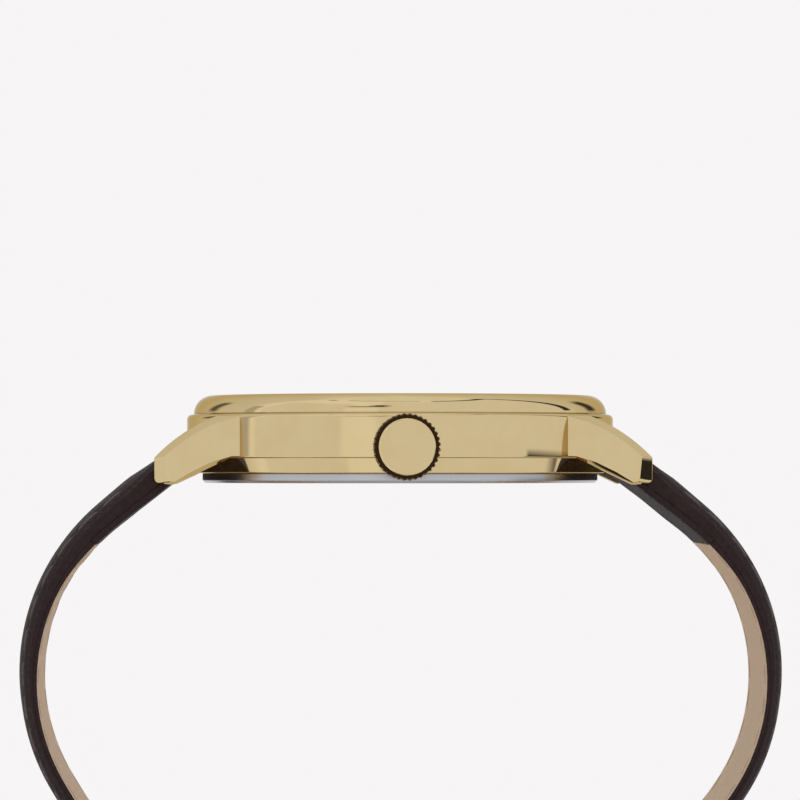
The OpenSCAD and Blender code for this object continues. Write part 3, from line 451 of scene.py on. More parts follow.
def coin_edge(name):
    """Crown flute gold with painted shade: the colour turns near black inside a set radius of the crown's
    axis, so the crests stay bright gold and the grooves read dark.
    """
    paint = Paint(name)
    paint.set("Metallic", 1.0)
    split = paint.tree.nodes.new("ShaderNodeSeparateXYZ")
    paint.link(paint.where(), split.inputs[0])
    up = paint.maths("SUBTRACT", split.outputs[2], CROWN_Z)
    x2 = paint.maths("MULTIPLY", split.outputs[0], split.outputs[0])
    z2 = paint.maths("MULTIPLY", up, up)
    radius = paint.maths("SQRT", paint.maths("ADD", x2, z2), 0)
    # noise that shifts the edge of the painted groove shade and varies the roughness
    shade_edge_and_roughness_noise = paint.noise(5.5, 4, 0.6)
    depth = paint.maths("ADD", radius, paint.maths("MULTIPLY", paint.maths("SUBTRACT", shade_edge_and_roughness_noise, 0.5), 0.6))
    # painted shade: near-black brown below about 2.93 mm from the axis, gold beyond 3.07 mm
    paint.colour(paint.mix(paint.span(depth, 2.93, 3.07), (0.035, 0.018, 0.008), (0.55, 0.39, 0.17)))
    paint.rough(paint.span(shade_edge_and_roughness_noise, 0.3, 0.7, 0.2, 0.4))
    return paint.mat


# crown flute gold with painted shade in its grooves
KNURL_PAINTED_SHADE = coin_edge("coin_edge_gold_painted_shade")
GOLD = polished("polished_gold", (0.700, 0.565, 0.318), (0.675, 0.535, 0.292), 0.03, (0.72, 0.60, 0.38))
STEEL = polished("polished_steel", (0.62, 0.63, 0.66), (0.56, 0.57, 0.61), 0.12)
BACK_STEEL = ring_brushed("case_back_steel", (0.60, 0.61, 0.64), (0.50, 0.51, 0.55))
TURNED_STEEL = brushed("turned_steel", (0.62, 0.62, 0.64), (0.48, 0.48, 0.50))
BRASS = ring_brushed("movement_brass", (0.72, 0.55, 0.25), (0.60, 0.44, 0.18))
BLUED = polished("blued_screws", (0.06, 0.10, 0.32), (0.04, 0.06, 0.22), 0.18)
CELL = ring_brushed("cell_nickel", (0.66, 0.66, 0.66), (0.55, 0.55, 0.56))
IRON = brushed("core_iron", (0.36, 0.36, 0.37), (0.28, 0.28, 0.29), (6, 0.15, 6), 0.4)
LEATHER = grained_leather(
    "dark_brown_leather", (0.036, 0.0180, 0.0190), (0.020, 0.0095, 0.0105), 1.0, 0.60, 0.12)
LINING = grained_leather("tan_lining", (0.68, 0.50, 0.33), (0.56, 0.40, 0.25), 1.6, 0.6, 0.25)
PADDING = grained_leather("bonded_padding", (0.45, 0.33, 0.21), (0.34, 0.24, 0.14), 2.2, 0.75, 0.2)
EDGE = painted_edge("painted_edge", (0.030, 0.0150, 0.0158), (0.018, 0.009, 0.0095))
TAN_THREAD = thread("tan_thread", (0.42, 0.30, 0.19), (0.30, 0.20, 0.12))
THREAD = thread("brown_thread", (0.110, 0.074, 0.066), (0.055, 0.034, 0.030))
RUBBER = moulded("black_rubber", (0.012, 0.012, 0.012), (0.02, 0.02, 0.02), 0.6, 0.3)
NYLON = moulded("white_nylon", (0.72, 0.72, 0.70), (0.66, 0.66, 0.63), 0.45)
SPACER = moulded("spacer_plastic", (0.74, 0.74, 0.69), (0.68, 0.68, 0.62), 0.5)
CHIP = moulded("black_epoxy", (0.012, 0.012, 0.013), (0.02, 0.02, 0.021), 0.35)
DIAL = sunray_lacquer("dial_lacquer", (0.80, 0.76, 0.68), (0.66, 0.62, 0.54))
FLANGE = brushed("flange_lacquer", (0.78, 0.73, 0.62), (0.68, 0.62, 0.50), (4, 4, 0.4), 0.3)
GLASS = clear_glass("mineral_glass")
BOARD = circuit("circuit_board_green")
WIRE_PAINTED_SHADE = wound_wire("coil_wire_painted_shade")
INK = moulded("dial_ink", (0.03, 0.025, 0.02), (0.05, 0.04, 0.03), 0.5)

NODE_PAINTS = {
    GOLD: ["mid_case", "bezel", "crown", "hour_markers", "hour_hand", "minute_hand",
           "second_hand", "buckle_frame", "buckle_tang"],
    GLASS: ["crystal"],
    NYLON: ["crystal_gasket"],
    FLANGE: ["dial_flange"],
    BACK_STEEL: ["case_back"],
    RUBBER: ["case_back_gasket", "crown_gasket"],
    STEEL: ["crown_tube", "buckle_bar"],
    TURNED_STEEL: ["setting_stem", "battery_clamp", "cannon_pinion", "setting_pinion",
                   "bar_12_tube", "bar_12_pin_3h", "bar_12_pin_9h", "bar_6_tube",
                   "bar_6_pin_3h", "bar_6_pin_9h", "bar_springs"],
    DIAL: ["dial"],
    SPACER: ["movement_ring"],
    BRASS: ["main_plate", "train_bridge", "fifth_wheel", "fourth_wheel", "third_wheel",
            "centre_wheel", "minute_wheel", "hour_wheel", "setting_wheel"],
    BLUED: ["movement_screws"],
    CELL: ["battery", "quartz_can"],
    BOARD: ["circuit_board"],
    CHIP: ["ic_chip", "rotor"],
    IRON: ["coil_core", "stator"],
    WIRE_PAINTED_SHADE: ["coil_winding"],
    LEATHER: ["strap_12_upper", "strap_6_upper", "fixed_keeper", "free_keeper"],
    LINING: ["strap_12_lining", "strap_6_lining"],
    PADDING: ["strap_12_filler", "strap_6_filler"],
}


# ---------------------------------------------------------------- shape helpers, in millimetres
def mesh_object(name, points, faces, mats, body, nodes, angle=SMOOTH_ANGLE, slots=None, bevel=0):
    """A mesh piece that rides on a CAD body and stands for CAD nodes."""
    mesh = bpy.data.meshes.new(name)
    mesh.from_pydata([Vector(p) * MM for p in points], [], faces)
    mats = mats if isinstance(mats, (list, tuple)) else [mats]
    for mat in mats:
        mesh.materials.append(mat)
    if slots:
        mesh.polygons.foreach_set("material_index", slots)
    mesh.validate()
    obj = bpy.data.objects.new(name, mesh)
    bpy.context.scene.collection.objects.link(obj)
    fix_normals(mesh)
    mesh.shade_smooth()
    mesh.set_sharp_from_angle(angle=angle)
    if bevel:
        soften(obj, bevel)
    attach(obj, body)
    if nodes:
        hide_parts(*nodes)
    return obj


def fix_normals(mesh):
    work = bmesh.new()
    work.from_mesh(mesh)
    bmesh.ops.recalc_face_normals(work, faces=work.faces)
    work.to_mesh(mesh)
    work.free()


def soften(obj, width, segments=2):
    """Rounds the sharp edges by width millimetres, with clean shading over the flats."""
    bevel = obj.modifiers.new("soft edges", "BEVEL")
    bevel.width = width * MM
    bevel.segments = segments
    bevel.limit_method = "ANGLE"
    bevel.angle_limit = math.radians(30)
    bevel.harden_normals = True
    bevel.use_clamp_overlap = True


class Build:
    """Points and faces of several shapes that become one piece."""

    def __init__(self):
        self.points, self.faces, self.slots = [], [], []

    def add(self, points, faces, slot=0):
        base = len(self.points)
        self.points += [tuple(p) for p in points]
        self.faces += [tuple(base + i for i in face) for face in faces]
        self.slots += slot if isinstance(slot, list) else [slot] * len(faces)

    def piece(self, name, mats, body, nodes, angle=SMOOTH_ANGLE, bevel=0):
        return mesh_object(name, self.points, self.faces, mats, body, nodes, angle, self.slots, bevel)


def loft(rings, closed=False, row_slots=None):
    """Skin through rings of the same length; row_slots gives each place in a ring a material."""
    count, total = len(rings[0]), len(rings)
    points = [p for ring in rings for p in ring]
    faces, slots = [], []
    for r in range(total if closed else total - 1):
        low, high = r * count, (r + 1) % total * count
        for i in range(count):
            j = (i + 1) % count
            faces.append((low + i, low + j, high + j, high + i))
            slots.append(row_slots[i] if row_slots else 0)
    if not closed:
        faces += [tuple(range(count))[::-1], tuple(range((total - 1) * count, total * count))]
        slots += [0, 0]
    return points, faces, slots


def rounded(corners, radii, steps=4):
    """A closed outline with each corner cut back to its radius."""
    out = []
    for i, corner in enumerate(corners):
        radius = radii[i] if isinstance(radii, (list, tuple)) else radii
        here = Vector(corner)
        before = Vector(corners[i - 1]) - here
        after = Vector(corners[(i + 1) % len(corners)]) - here
        if radius <= 0:
            out.append(tuple(here))
            continue
        half = before.angle(after) / 2
        run = min(radius / max(0.05, math.tan(half)), before.length * 0.48, after.length * 0.48)
        a, b = here + before.normalized() * run, here + after.normalized() * run
        for k in range(steps + 1):
            t = k / steps
            out.append(tuple(a * (1 - t) ** 2 + here * 2 * t * (1 - t) + b * t * t))
    return out


def lathe_data(profile, segments=288, wave=None):
    """A closed (radius, height) outline turned about Z; wave changes the radius by angle."""
    rings = []
    for s in range(segments):
        a = 2 * math.pi * s / segments
        rings.append([
            (reach * math.cos(a), reach * math.sin(a), z)
            for reach, z in ((r + wave(a, r, z) if wave else r, z) for r, z in profile)
        ])
    return loft(rings, closed=True)


def lathe(name, profile, mats, body, nodes, segments=288, wave=None, angle=SMOOTH_ANGLE):
    build = Build()
    points, faces, _ = lathe_data(profile, segments, wave)
    build.add(points, faces)
    return build.piece(name, mats, body, nodes, angle)


def tube(path, radius, sides=8, squash=1.0):
    """A rounded rod along a path of points, narrowing at both ends."""
    rings = []
    last = len(path) - 1
    for i, p in enumerate(path):
        p = Vector(p)
        way = (Vector(path[min(last, i + 1)]) - Vector(path[max(0, i - 1)])).normalized()
        side = way.cross(Vector((0, 0, 1)))
        side = side.normalized() if side.length > 1e-6 else Vector((1, 0, 0))
        up = side.cross(way).normalized()
        r = radius * (0.45 if i in (0, last) else 1)
        turns = [2 * math.pi * k / sides for k in range(sides)]
        rings.append([p + side * r * math.cos(a) + up * squash * r * math.sin(a) for a in turns])
    return loft(rings)


def smooth(x, low, high):
    t = min(1, max(0, (x - low) / (high - low)))
    return t * t * (3 - 2 * t)


def ramp(x, low, high, a, b):
    return a + (b - a) * min(1, max(0, (x - low) / (high - low)))


# ---------------------------------------------------------------- strap routes
LEAVE = math.radians(38)
BAR = (21.3, 1.5)
INNER = 1.22
SHORT = [(7.6, 4000), (25.8, 18), (12, 22), (60, 40)]
LONG = [(7.6, 4000), (25.8, 18), (90, 62)]
SHORT_LEN, LONG_LEN = 69.0, 108.0
START = (BAR[0] - INNER * math.sin(LEAVE), BAR[1] - INNER * math.cos(LEAVE))
LINING_T, GLUE, UPPER_T = 0.6, 0.03, 0.65
FIRST_HOLE, HOLE_PITCH, HOLE_COUNT, HOLE_R, TIP = 42.0, 6.5, 7, 0.9, 9.0
LOOP_N, END_BORE, END_LOOP, END_FOLD = 1.0, 0.8, 1.35, 6.0
FOLD_LEN = 10.0


def route_at(route, s):
    x, z, turned = START[0], START[1], LEAVE
    for i, (length, radius) in enumerate(route):
        run = s if s <= length or i == len(route) - 1 else length
        after = turned + run / radius
        x += radius * (math.sin(after) - math.sin(turned))
        z += radius * (math.cos(after) - math.cos(turned))
        turned = after
        s -= run
        if s <= 0:
            break
    return x, z, turned


def beside(place, y, n, sign):
    x, z, turned = place
    return (sign * (x + n * math.sin(turned)), y, z + n * math.cos(turned))


def half_width(s, length):
    return (20 - 4 * min(1, s / length)) / 2


def tip_share(s, length, tip):
    if not tip or s < length - tip:
        return 1.0
    return math.sqrt(max(0.02, 1 - ((s - length + tip) / tip) ** 2))


def middle_t(s):
    if s < 4:
        return ramp(s, 0, 4, 2.64, 3.0)
    return ramp(s, 4, 26, 3.0, 2.08) if s < 26 else ramp(s, 26, 80, 2.08, 1.9)


def edge_n(s):
    return ramp(s, 0, 4, 2.64, 2.2) if s < 4 else ramp(s, 4, 26, 2.2, 1.3)


STITCH_IN = 1.6


def worn(s, length):
    """How far the pressed lining lies above the strap's inner line, away from its ends."""
    return 0.22 * smooth(s, 9, 16) * (1 - smooth(s, length - 14, length - 8))


def outer_n(s, y, half):
    """The upper leather's face: a flat sewn margin that swells into the padded middle."""
    u = min(1, abs(y) / half)
    d = half - abs(y)
    margin = 0.25 * smooth(d, 0, STITCH_IN)
    swell = min(1 - u ** 2.6, margin + 0.78 * smooth(d, STITCH_IN - 0.3, STITCH_IN + 2.6))
    groove = 0.12 * math.exp(-((d - STITCH_IN) / 0.28) ** 2) * smooth(s, 2, 5)
    turned_in = 0.5 * (1 - smooth(d, -0.3, 1.0))
    return edge_n(s) + (middle_t(s) - edge_n(s)) * max(0, swell) - groove - turned_in


ACROSS = [0, 0.06, 0.15, 0.3, 0.5, 0.75, 1.0, 1.25, 1.45, 1.6, 1.75, 1.95, 2.3, 2.8, 3.5, 4.3, 5.4]


def lanes(low, high, half):
    """Places across the strap between low and high, close together beside the edges."""
    ys = {low, high}
    for d in ACROSS:
        ys.update(y for y in (half - d, -half + d) if low < y < high)
    if low < 0 < high:
        ys.add(0.0)
    return sorted(ys)


def upper_rings(route, length, tip, buckle, sign, low=-1.0, high=1.0, from_s=None, to_s=None, lobe=False):
    """Rings of the upper leather between two shares of the strap's width."""
    rings = []

    def ring(half, outer, inner, outer_s, inner_s):
        ya = low * half if not lobe or abs(low) == 1 else math.copysign(1.3, low)
        yb = high * half if not lobe or abs(high) == 1 else math.copysign(1.3, high)
        places = lanes(ya, yb, half)
        ys = list(np.interp(range(LANES), np.linspace(0, LANES - 1, len(places)), places))
        top = [beside(route_at(route, outer_s), y, outer(y), sign) for y in ys]
        under = [beside(route_at(route, inner_s), y, inner(y), sign) for y in reversed(ys)]
        rings.append(top + under)

    if from_s is None:
        half = 10.0
        for s in np.linspace(FOLD_LEN - 0.1, 1.2, 12):
            ring(half, lambda y: 0.02 + 0.03 * math.sin(y * 1.7 + s), lambda y: LINING_T, s, s)
        for a in range(180, 0, -12):
            t = math.radians(a)
            skin = ramp(a, 0, 180, 1.42, INNER)
            s_out, s_in = -skin * math.sin(t), -0.75 * math.sin(t)
            ring(half, lambda y: INNER + skin * math.cos(t), lambda y: INNER + 0.75 * math.cos(t),
                 s_out, s_in)
        from_s = 0.0
    end = length if to_s is None else to_s
    for s in np.linspace(from_s, end, max(4, int((end - from_s) / 0.75))):
        share = ramp(s, length - 6, length - 1, 0, 1) if buckle else 0
        half = half_width(s, length) * tip_share(s, length, tip)
        thick = UPPER_T + (END_LOOP - END_BORE - UPPER_T) * share

        def outer(y):
            return outer_n(s, y, half) * (1 - share) + (LOOP_N + END_LOOP) * share

        closing = smooth(s, 1.0, 1.7) * (1 - smooth(s, length - 1.8, length - 1.1) if buckle else 1)

        def inner(y):
            under = max(LINING_T + GLUE, outer(y) - thick)
            return under + (LINING_T + GLUE - under) * closing * smooth(abs(y) / half, 0.79, 0.86)

        ring(half, outer, inner, s, s)
    if buckle and to_s is None:
        half = 8.0
        for a in range(15, 181, 15):
            t = math.radians(a)
            ring(half, lambda y: LOOP_N + END_LOOP * math.cos(t), lambda y: LOOP_N + END_BORE * math.cos(t),
                 length + END_LOOP * math.sin(t), length + END_BORE * math.sin(t))
        for s in (1.5, 3, END_FOLD):
            under = ramp(s, 0, 3, LOOP_N - END_LOOP, 0)
            thick = ramp(s, 0, 3, END_LOOP - END_BORE, LINING_T)
            ring(half, lambda y: under, lambda y: under + thick, length - s, length - s)
    return rings


LANES = 37


def edge_slots(count, face_slot=0, side_slot=1):
    """Marks a ring's two ends, where it passes from its top to its underside."""
    slots = [face_slot] * (2 * count)
    slots[count - 1] = side_slot
    slots[2 * count - 1] = side_slot
    return slots


def strap(side, route, length, tip, buckle, body, sign):
    """One strap: upper leather, padding, lining and its rows of saddle stitches."""
    uppers = Build()
    slots = edge_slots(LANES)
    if buckle:
        stop = length - 4.2
        points, faces, marks = loft(upper_rings(route, length, tip, buckle, sign, to_s=stop), False, slots)
        uppers.add(points, faces, marks)
        for low, high in ((-1, -0.1), (0.1, 1)):
            rings = upper_rings(route, length, tip, buckle, sign, low, high, stop, None, True)
            points, faces, marks = loft(rings, False, slots)
            uppers.add(points, faces, marks)
    else:
        points, faces, marks = loft(upper_rings(route, length, tip, buckle, sign), False, slots)
        uppers.add(points, faces, marks)
    leather = uppers.piece(
        f"strap_{side}_leather", [LEATHER, EDGE], body, [f"strap_{side}_upper"], math.radians(50))

    end = length - END_FOLD - 0.1 if buckle else length
    rings = []
    for s in np.linspace(FOLD_LEN, end, int((end - FOLD_LEN) / 1.0)):
        half = half_width(s, length) * tip_share(s, length, tip)
        place = route_at(route, s)
        ys = [-half, -half + 0.12, -half + 0.35] + list(np.linspace(-half + 1, half - 1, 15)) + [
            half - 0.35, half - 0.12, half]
        ripple = [0.025 * math.sin(2.1 * y + 0.7 * s) * math.sin(0.9 * s) ** 2 for y in ys[3:-3]]
        low = [0.14, 0.04, 0.0] + ripple + [0.0, 0.04, 0.14]
        rings.append(
            [beside(place, y, LINING_T, sign) for y in ys]
            + [beside(place, y, max(0, n) + worn(s, length), sign)
               for y, n in zip(reversed(ys), reversed(low))]
        )
    count = len(rings[0]) // 2
    marks = edge_slots(count)
    marks[count] = marks[2 * count - 2] = 1
    points, faces, marks = loft(rings, False, marks)
    build = Build()
    build.add(points, faces, marks)
    lining = build.piece(
        f"strap_{side}_liner", [LINING, EDGE], body, [f"strap_{side}_lining"], math.radians(50))

    stop = 50 if buckle else FIRST_HOLE - 4
    rings = []
    for s in np.linspace(3.5, stop, 40):
        half = half_width(s, length)
        place = route_at(route, s)
        ys = np.linspace(-half * 0.78, half * 0.78, 21)
        level = LINING_T + 2 * GLUE
        rings.append(
            [beside(place, y, max(level + 0.06, outer_n(s, y, half) - UPPER_T - 2 * GLUE), sign) for y in ys]
            + [beside(place, y, level, sign) for y in reversed(ys)]
        )
    points, faces, _ = loft(rings)
    build = Build()
    build.add(points, faces)
    filler = build.piece(f"strap_{side}_padding", PADDING, body, [f"strap_{side}_filler"], math.radians(50))

    seams = Build()
    chance = random.Random(side)
    from_s, to_s = 5.0, (length - 9 if buckle else length - TIP - 1)
    for edge in (-1, 1):
        s = from_s
        while s < to_s:
            path, below = [], []
            lean = chance.uniform(-0.04, 0.04)
            for k in range(7):
                t = k / 6
                at = s + 2.35 * t
                half = half_width(at, length)
                y = edge * (half - STITCH_IN + 0.12 * (t - 0.5) + lean)
                rise = 0.10 * math.sin(math.pi * t) - 0.06
                path.append(beside(route_at(route, at), y, outer_n(at, y, half) + rise, sign))
                sunk = worn(at, length) + 0.09 - 0.04 * math.sin(math.pi * t)
                below.append(beside(route_at(route, at + 0.1), y, sunk, sign))
            points, faces, _ = tube(path, 0.19)
            seams.add(points, faces)
            if s > FOLD_LEN + 0.5:
                points, faces, _ = tube(below, 0.11)
                seams.add(points, faces, 1)
            s += 2.85
    seams.piece(f"strap_{side}_stitches", [THREAD, TAN_THREAD], body, [], math.radians(60))
    return leather, lining


def punch(pieces):
    """Cuts the buckle holes through the long strap's layers."""
    cutter = Build()
    for i in range(HOLE_COUNT):
        place = route_at(LONG, FIRST_HOLE + i * HOLE_PITCH)
        rings = []
        for n in (-1, 4):
            ring = []
            for k in range(28):
                a = 2 * math.pi * k / 28
                along, y = HOLE_R * math.cos(a), HOLE_R * math.sin(a)
                x, z, t = place
                across = -(x + n * math.sin(t) + along * math.cos(t))
                ring.append((across, y, z + n * math.cos(t) - along * math.sin(t)))
            rings.append(ring)
        points, faces, _ = loft(rings)
        cutter.add(points, faces)
    mesh = bpy.data.meshes.new("punch")
    mesh.from_pydata([Vector(p) * MM for p in cutter.points], [], cutter.faces)
    mesh.materials.append(EDGE)
    tool = bpy.data.objects.new("punch", mesh)
    bpy.context.scene.collection.objects.link(tool)
    fix_normals(mesh)
    for obj in pieces:
        cut = obj.modifiers.new("holes", "BOOLEAN")
        cut.operation = "DIFFERENCE"
        cut.solver = "EXACT"
        cut.object = tool
        bpy.context.view_layer.update()
        shape = bpy.data.meshes.new_from_object(obj.evaluated_get(bpy.context.evaluated_depsgraph_get()))
        obj.modifiers.clear()
        obj.data = shape
        shape.set_sharp_from_angle(angle=math.radians(50))
    bpy.data.objects.remove(tool)


def keeper(name, s, body, node):
    """A leather loop with rounded edges and two rows of tone-on-tone stitches."""
    half = half_width(s - 2.3, SHORT_LEN) + 0.3
    low, high = -0.3, middle_t(s) + 1.9
    x, z, turned = route_at(SHORT, s)

    def place(along, y, n):
        return (
            x + n * math.sin(turned) + along * math.cos(turned), y,
            z + n * math.cos(turned) - along * math.sin(turned),
        )

    build = Build()
    band = rounded([(-2.3, 0.0), (2.3, 0.0), (2.3, 0.9), (-2.3, 0.9)], [0.08, 0.08, 0.32, 0.32], 4)
    loop = rounded([(-half, low), (half, low), (half, high), (-half, high)], 1.1, 6)
    centre = ((high + low) / 2)
    rings = []
    for i, (y, n) in enumerate(loop):
        before, after = Vector(loop[i - 1]), Vector(loop[(i + 1) % len(loop)])
        way = (after - before).normalized()
        out = Vector((way.y, -way.x))
        if out.dot(Vector((y, n - centre))) < 0:
            out = -out
        rings.append([place(a, y + out.x * t, n + out.y * t) for a, t in band])
    points, faces, _ = loft(rings, closed=True)
    build.add(points, faces)
    chance = random.Random(name)
    for row in (-1.75, 1.75):
        y = -half + 1.2
        while y < half - 1.4:
            for n, lift in ((high + 0.87, 1), (low - 0.87, -1)):
                path = [
                    place(row + chance.uniform(-0.02, 0.02), y + 1.3 * k / 4,
                          n + lift * 0.07 * math.sin(math.pi * k / 4))
                    for k in range(5)
                ]
                pts, fcs, _ = tube(path, 0.13)
                build.add(pts, fcs, 1)
            y += 1.85
    obj = build.piece(name, [LEATHER, THREAD], body, [node], math.radians(55))
    return obj


# ---------------------------------------------------------------- case, crystal and dial
def lug_sections():
    """Outlines of a lug from its inner face to its bevelled outer face."""
    sections = []
    for y, k in ((10.1, 0.0), (12.3, 0.0), (13.2, 1.0)):
        arc_r, tip_x = 15.65 - 0.65 * k, 22.85 - 1.05 * k
        cx, cz = 11.46, -8.41
        cap = 6.2
        low_a = math.acos(min(1, (tip_x - cx) / arc_r))
        cap_x = cx + math.sqrt(arc_r ** 2 - (cap - cz) ** 2)
        high_a = math.atan2(cap - cz, cap_x - cx)
        arc = [(cx + arc_r * math.cos(a), cz + arc_r * math.sin(a)) for a in np.linspace(low_a, high_a, 40)]
        outline = [
            (13.5, 2.4 + 0.1 * k), (15.7 + 0.1 * k, 2.4 + 0.05 * k), (17.5 + 0.1 * k, 1.55 + 0.36 * k),
            (19.4 + 0.05 * k, 0.65 + 0.36 * k), (21.1 - 0.1 * k, -0.15 + 0.22 * k),
            (tip_x - 0.42, -0.02 + 0.14 * k),
            (tip_x - 0.12 - 0.22 * k, 0.12 + 0.12 * k), (tip_x - 0.20 * k, 0.42 + 0.1 * k),
        ]
        sections.append([(x, y, z) for x, z in outline + arc + [(13.5, cap)]])
    return sections


def arc_points(x, z, radius, start, count):
    """An arc about (x, z) from the angle start up to its top."""
    turns = np.linspace(start, math.pi / 2, count)
    return [(x + radius * math.cos(t), z + radius * math.sin(t)) for t in turns]


def middle_case():
    """The case band and its four bevelled lugs."""
    build = Build()
    profile = rounded(
        [(17.7, 0.91), (19.2, 0.91), (19.6, 2.3), (20.0, 2.3), (20.0, 5.92), (19.53, 6.39), (17.7, 6.39)],
        [0.03, 0.16, 0.04, 0.38, 0.0, 0.03, 0.03], 6)
    shoulder = arc_points(19.53, 5.92, 0.47, 0, 9)
    cut = [i for i, p in enumerate(profile) if abs(p[0] - 20.0) < 1e-6 and abs(p[1] - 5.92) < 1e-6][0]
    profile = profile[:cut] + shoulder + [p for p in profile[cut + 1:] if p[0] < 19.4]
    points, faces, _ = lathe_data(profile, 384)
    build.add(points, faces)
    for sx in (-1, 1):
        for sy in (-1, 1):
            points, faces, _ = loft([[(sx * x, sy * y, z) for x, y, z in ring] for ring in lug_sections()])
            build.add(points, faces)
    return build.piece("case_middle", GOLD, "case", ["mid_case"], math.radians(25), 0.07)


def case_pieces():
    middle_case()
    quarter = arc_points(17.6, 6.42, 1.76, 0.03, 28)
    lathe("bezel_ring", [(16.6, 5.93), (17.67, 5.93), (17.67, 6.43), (19.3, 6.43), (19.345, 6.455)] + quarter
          + [(17.62, 8.15), (17.6, 6.84), (16.6, 6.83)], GOLD, "case", ["bezel"], 384)
    glass = [(0.001, 6.86), (16.9, 6.86), (17.2, 6.86), (17.2, 7.9), (17.05, 8.05), (16.8, 8.05),
             (0.001, 8.05)]
    lathe("crystal_disc", rounded(glass, [0, 0, 0.02, 0.03, 0.04, 0, 0], 3), GLASS, "case", ["crystal"])
    lathe("crystal_seat", rounded([(17.22, 6.86), (17.58, 6.86), (17.58, 7.85), (17.22, 7.85)], 0.06), NYLON,
          "case", ["crystal_gasket"])
    flange = [(15.9, 5.42), (17.6, 5.42), (17.6, 5.9), (16.58, 5.9), (16.58, 6.78), (16.35, 6.78)]
    lathe("rehaut", rounded(flange, 0.03), FLANGE, "case", ["dial_flange"])
    back = rounded([(0.001, 0.0), (18.1, 0.0), (18.29, 0.0), (18.54, 0.25), (18.54, 0.89), (17.68, 0.89),
                    (17.68, 1.2), (17.3, 1.2), (17.3, 1.8), (17.68, 1.8), (17.68, 2.1), (16.8, 2.1),
                    (16.8, 0.7), (0.001, 0.7)],
                   [0, 0, 0.06, 0.06, 0.08, 0, 0, 0, 0, 0, 0.05, 0.05, 0.05, 0], 4)
    build = Build()
    points, faces, _ = lathe_data(back, 288)
    build.add(points, faces)
    # six key slots, painted black as shade instead of being cut into the back
    for k in range(6):
        a = math.radians(30 + 60 * k)
        build.add(*key_slot_painted_shade(a))
    build.piece("case_back_cover", [BACK_STEEL, CHIP], "case", ["case_back"])


def key_slot_painted_shade(a):
    """A shallow key slot near the case back's rim, drawn as a thin black slab: painted shade in place of a
    cut recess.
    """
    ring = []
    for r, side in ((16.9, -1), (17.6, -1), (17.6, 1), (16.9, 1)):
        turn = a + side * 0.035
        ring.append((r * math.cos(turn), r * math.sin(turn)))
    points = [(x, y, 0.012) for x, y in ring] + [(x, y, 0.001) for x, y in ring]
    return points, [(0, 1, 2, 3), (7, 6, 5, 4), (0, 4, 5, 1), (1, 5, 6, 2), (2, 6, 7, 3), (3, 7, 4, 0)], 1


def along_crown(points):
    """Turns a shape that stands on +Z onto the crown's axis, which runs along -Y."""
    return [(x, -CROWN_IN - z, CROWN_Z + y) for x, y, z in points]


def crown_piece():
    """A coin-edged crown with a flat polished cap."""
    flutes, segments = 36, 432
    profile = [(1.55, 0.0), (2.85, 0.0), (3.0, 0.06), (3.04, 0.16)]
    profile += [(3.045, z) for z in np.linspace(0.3, 2.5, 10)]
    profile += [(3.03, 2.62), (2.93, 2.74), (2.78, 2.75), (2.6, 2.75)]
    profile += [(2.57, 2.8), (2.575, 3.0), (2.57, 3.08), (2.53, 3.15), (2.46, 3.19), (2.36, 3.2)]
    profile += [(1.4, 3.2), (0.001, 3.2), (0.001, 1.76), (1.55, 1.76)]

    def wave(a, r, z):
        if r < 2.8 or z > 2.76:
            return 0.0
        across = abs(math.sin(a * flutes / 2))
        return -0.24 * (1 - across) ** 1.2 * smooth(z, 0.0, 0.25)

    points, faces, _ = lathe_data(profile, segments, wave)
    build = Build()
    # fluted faces take slot 1, the knurl gold with painted shade in its grooves
    fluted = []
    for face in faces:
        near_axis = min(math.hypot(*points[i][:2]) for i in face) < 2.56
        on_cap = max(points[i][2] for i in face) > 2.82
        fluted.append(0 if near_axis or on_cap else 1)
    build.add(along_crown(points), faces, fluted)
    build.piece("crown_cap", [GOLD, KNURL_PAINTED_SHADE], "crown", ["crown"], math.radians(35))


def facet_hand(name, length, tail, width, hole, z, height, angle, body, node):
    """A hand with a raised middle ridge, a boss round its pipe and a counterweight tail."""
    turn = math.radians(angle)
    build = Build()

    def put(p):
        x, y, h = p
        return (x * math.cos(turn) - y * math.sin(turn), x * math.sin(turn) + y * math.cos(turn), z + h)

    stations = [
        (-tail, 0.30), (-tail * 0.9, 0.37), (-hole - 0.4, 0.30), (hole + 0.45, 0.42),
        (length * 0.5, 0.45), (length * 0.82, 0.33), (length * 0.97, 0.10), (length, 0.04),
    ]
    for part in (stations[:3], stations[3:]):
        rings = []
        for x, share in part:
            w = width * share
            rings.append([put(p) for p in (
                (x, -w, 0.0), (x, -w, height * 0.45), (x, 0, height), (x, w, height * 0.45), (x, w, 0.0))])
        points, faces, _ = loft(rings)
        build.add(points, faces)
    rim = hole + 0.55
    boss = rounded([(hole, 0.0), (rim, 0.0), (rim, height), (hole, height)], [0, 0.02, 0.04, 0.02], 3)
    points, faces, _ = lathe_data(boss, 96)
    build.add([(x, y, z + h) for x, y, h in points], faces)
    build.piece(name, GOLD, body, [node], math.radians(18))


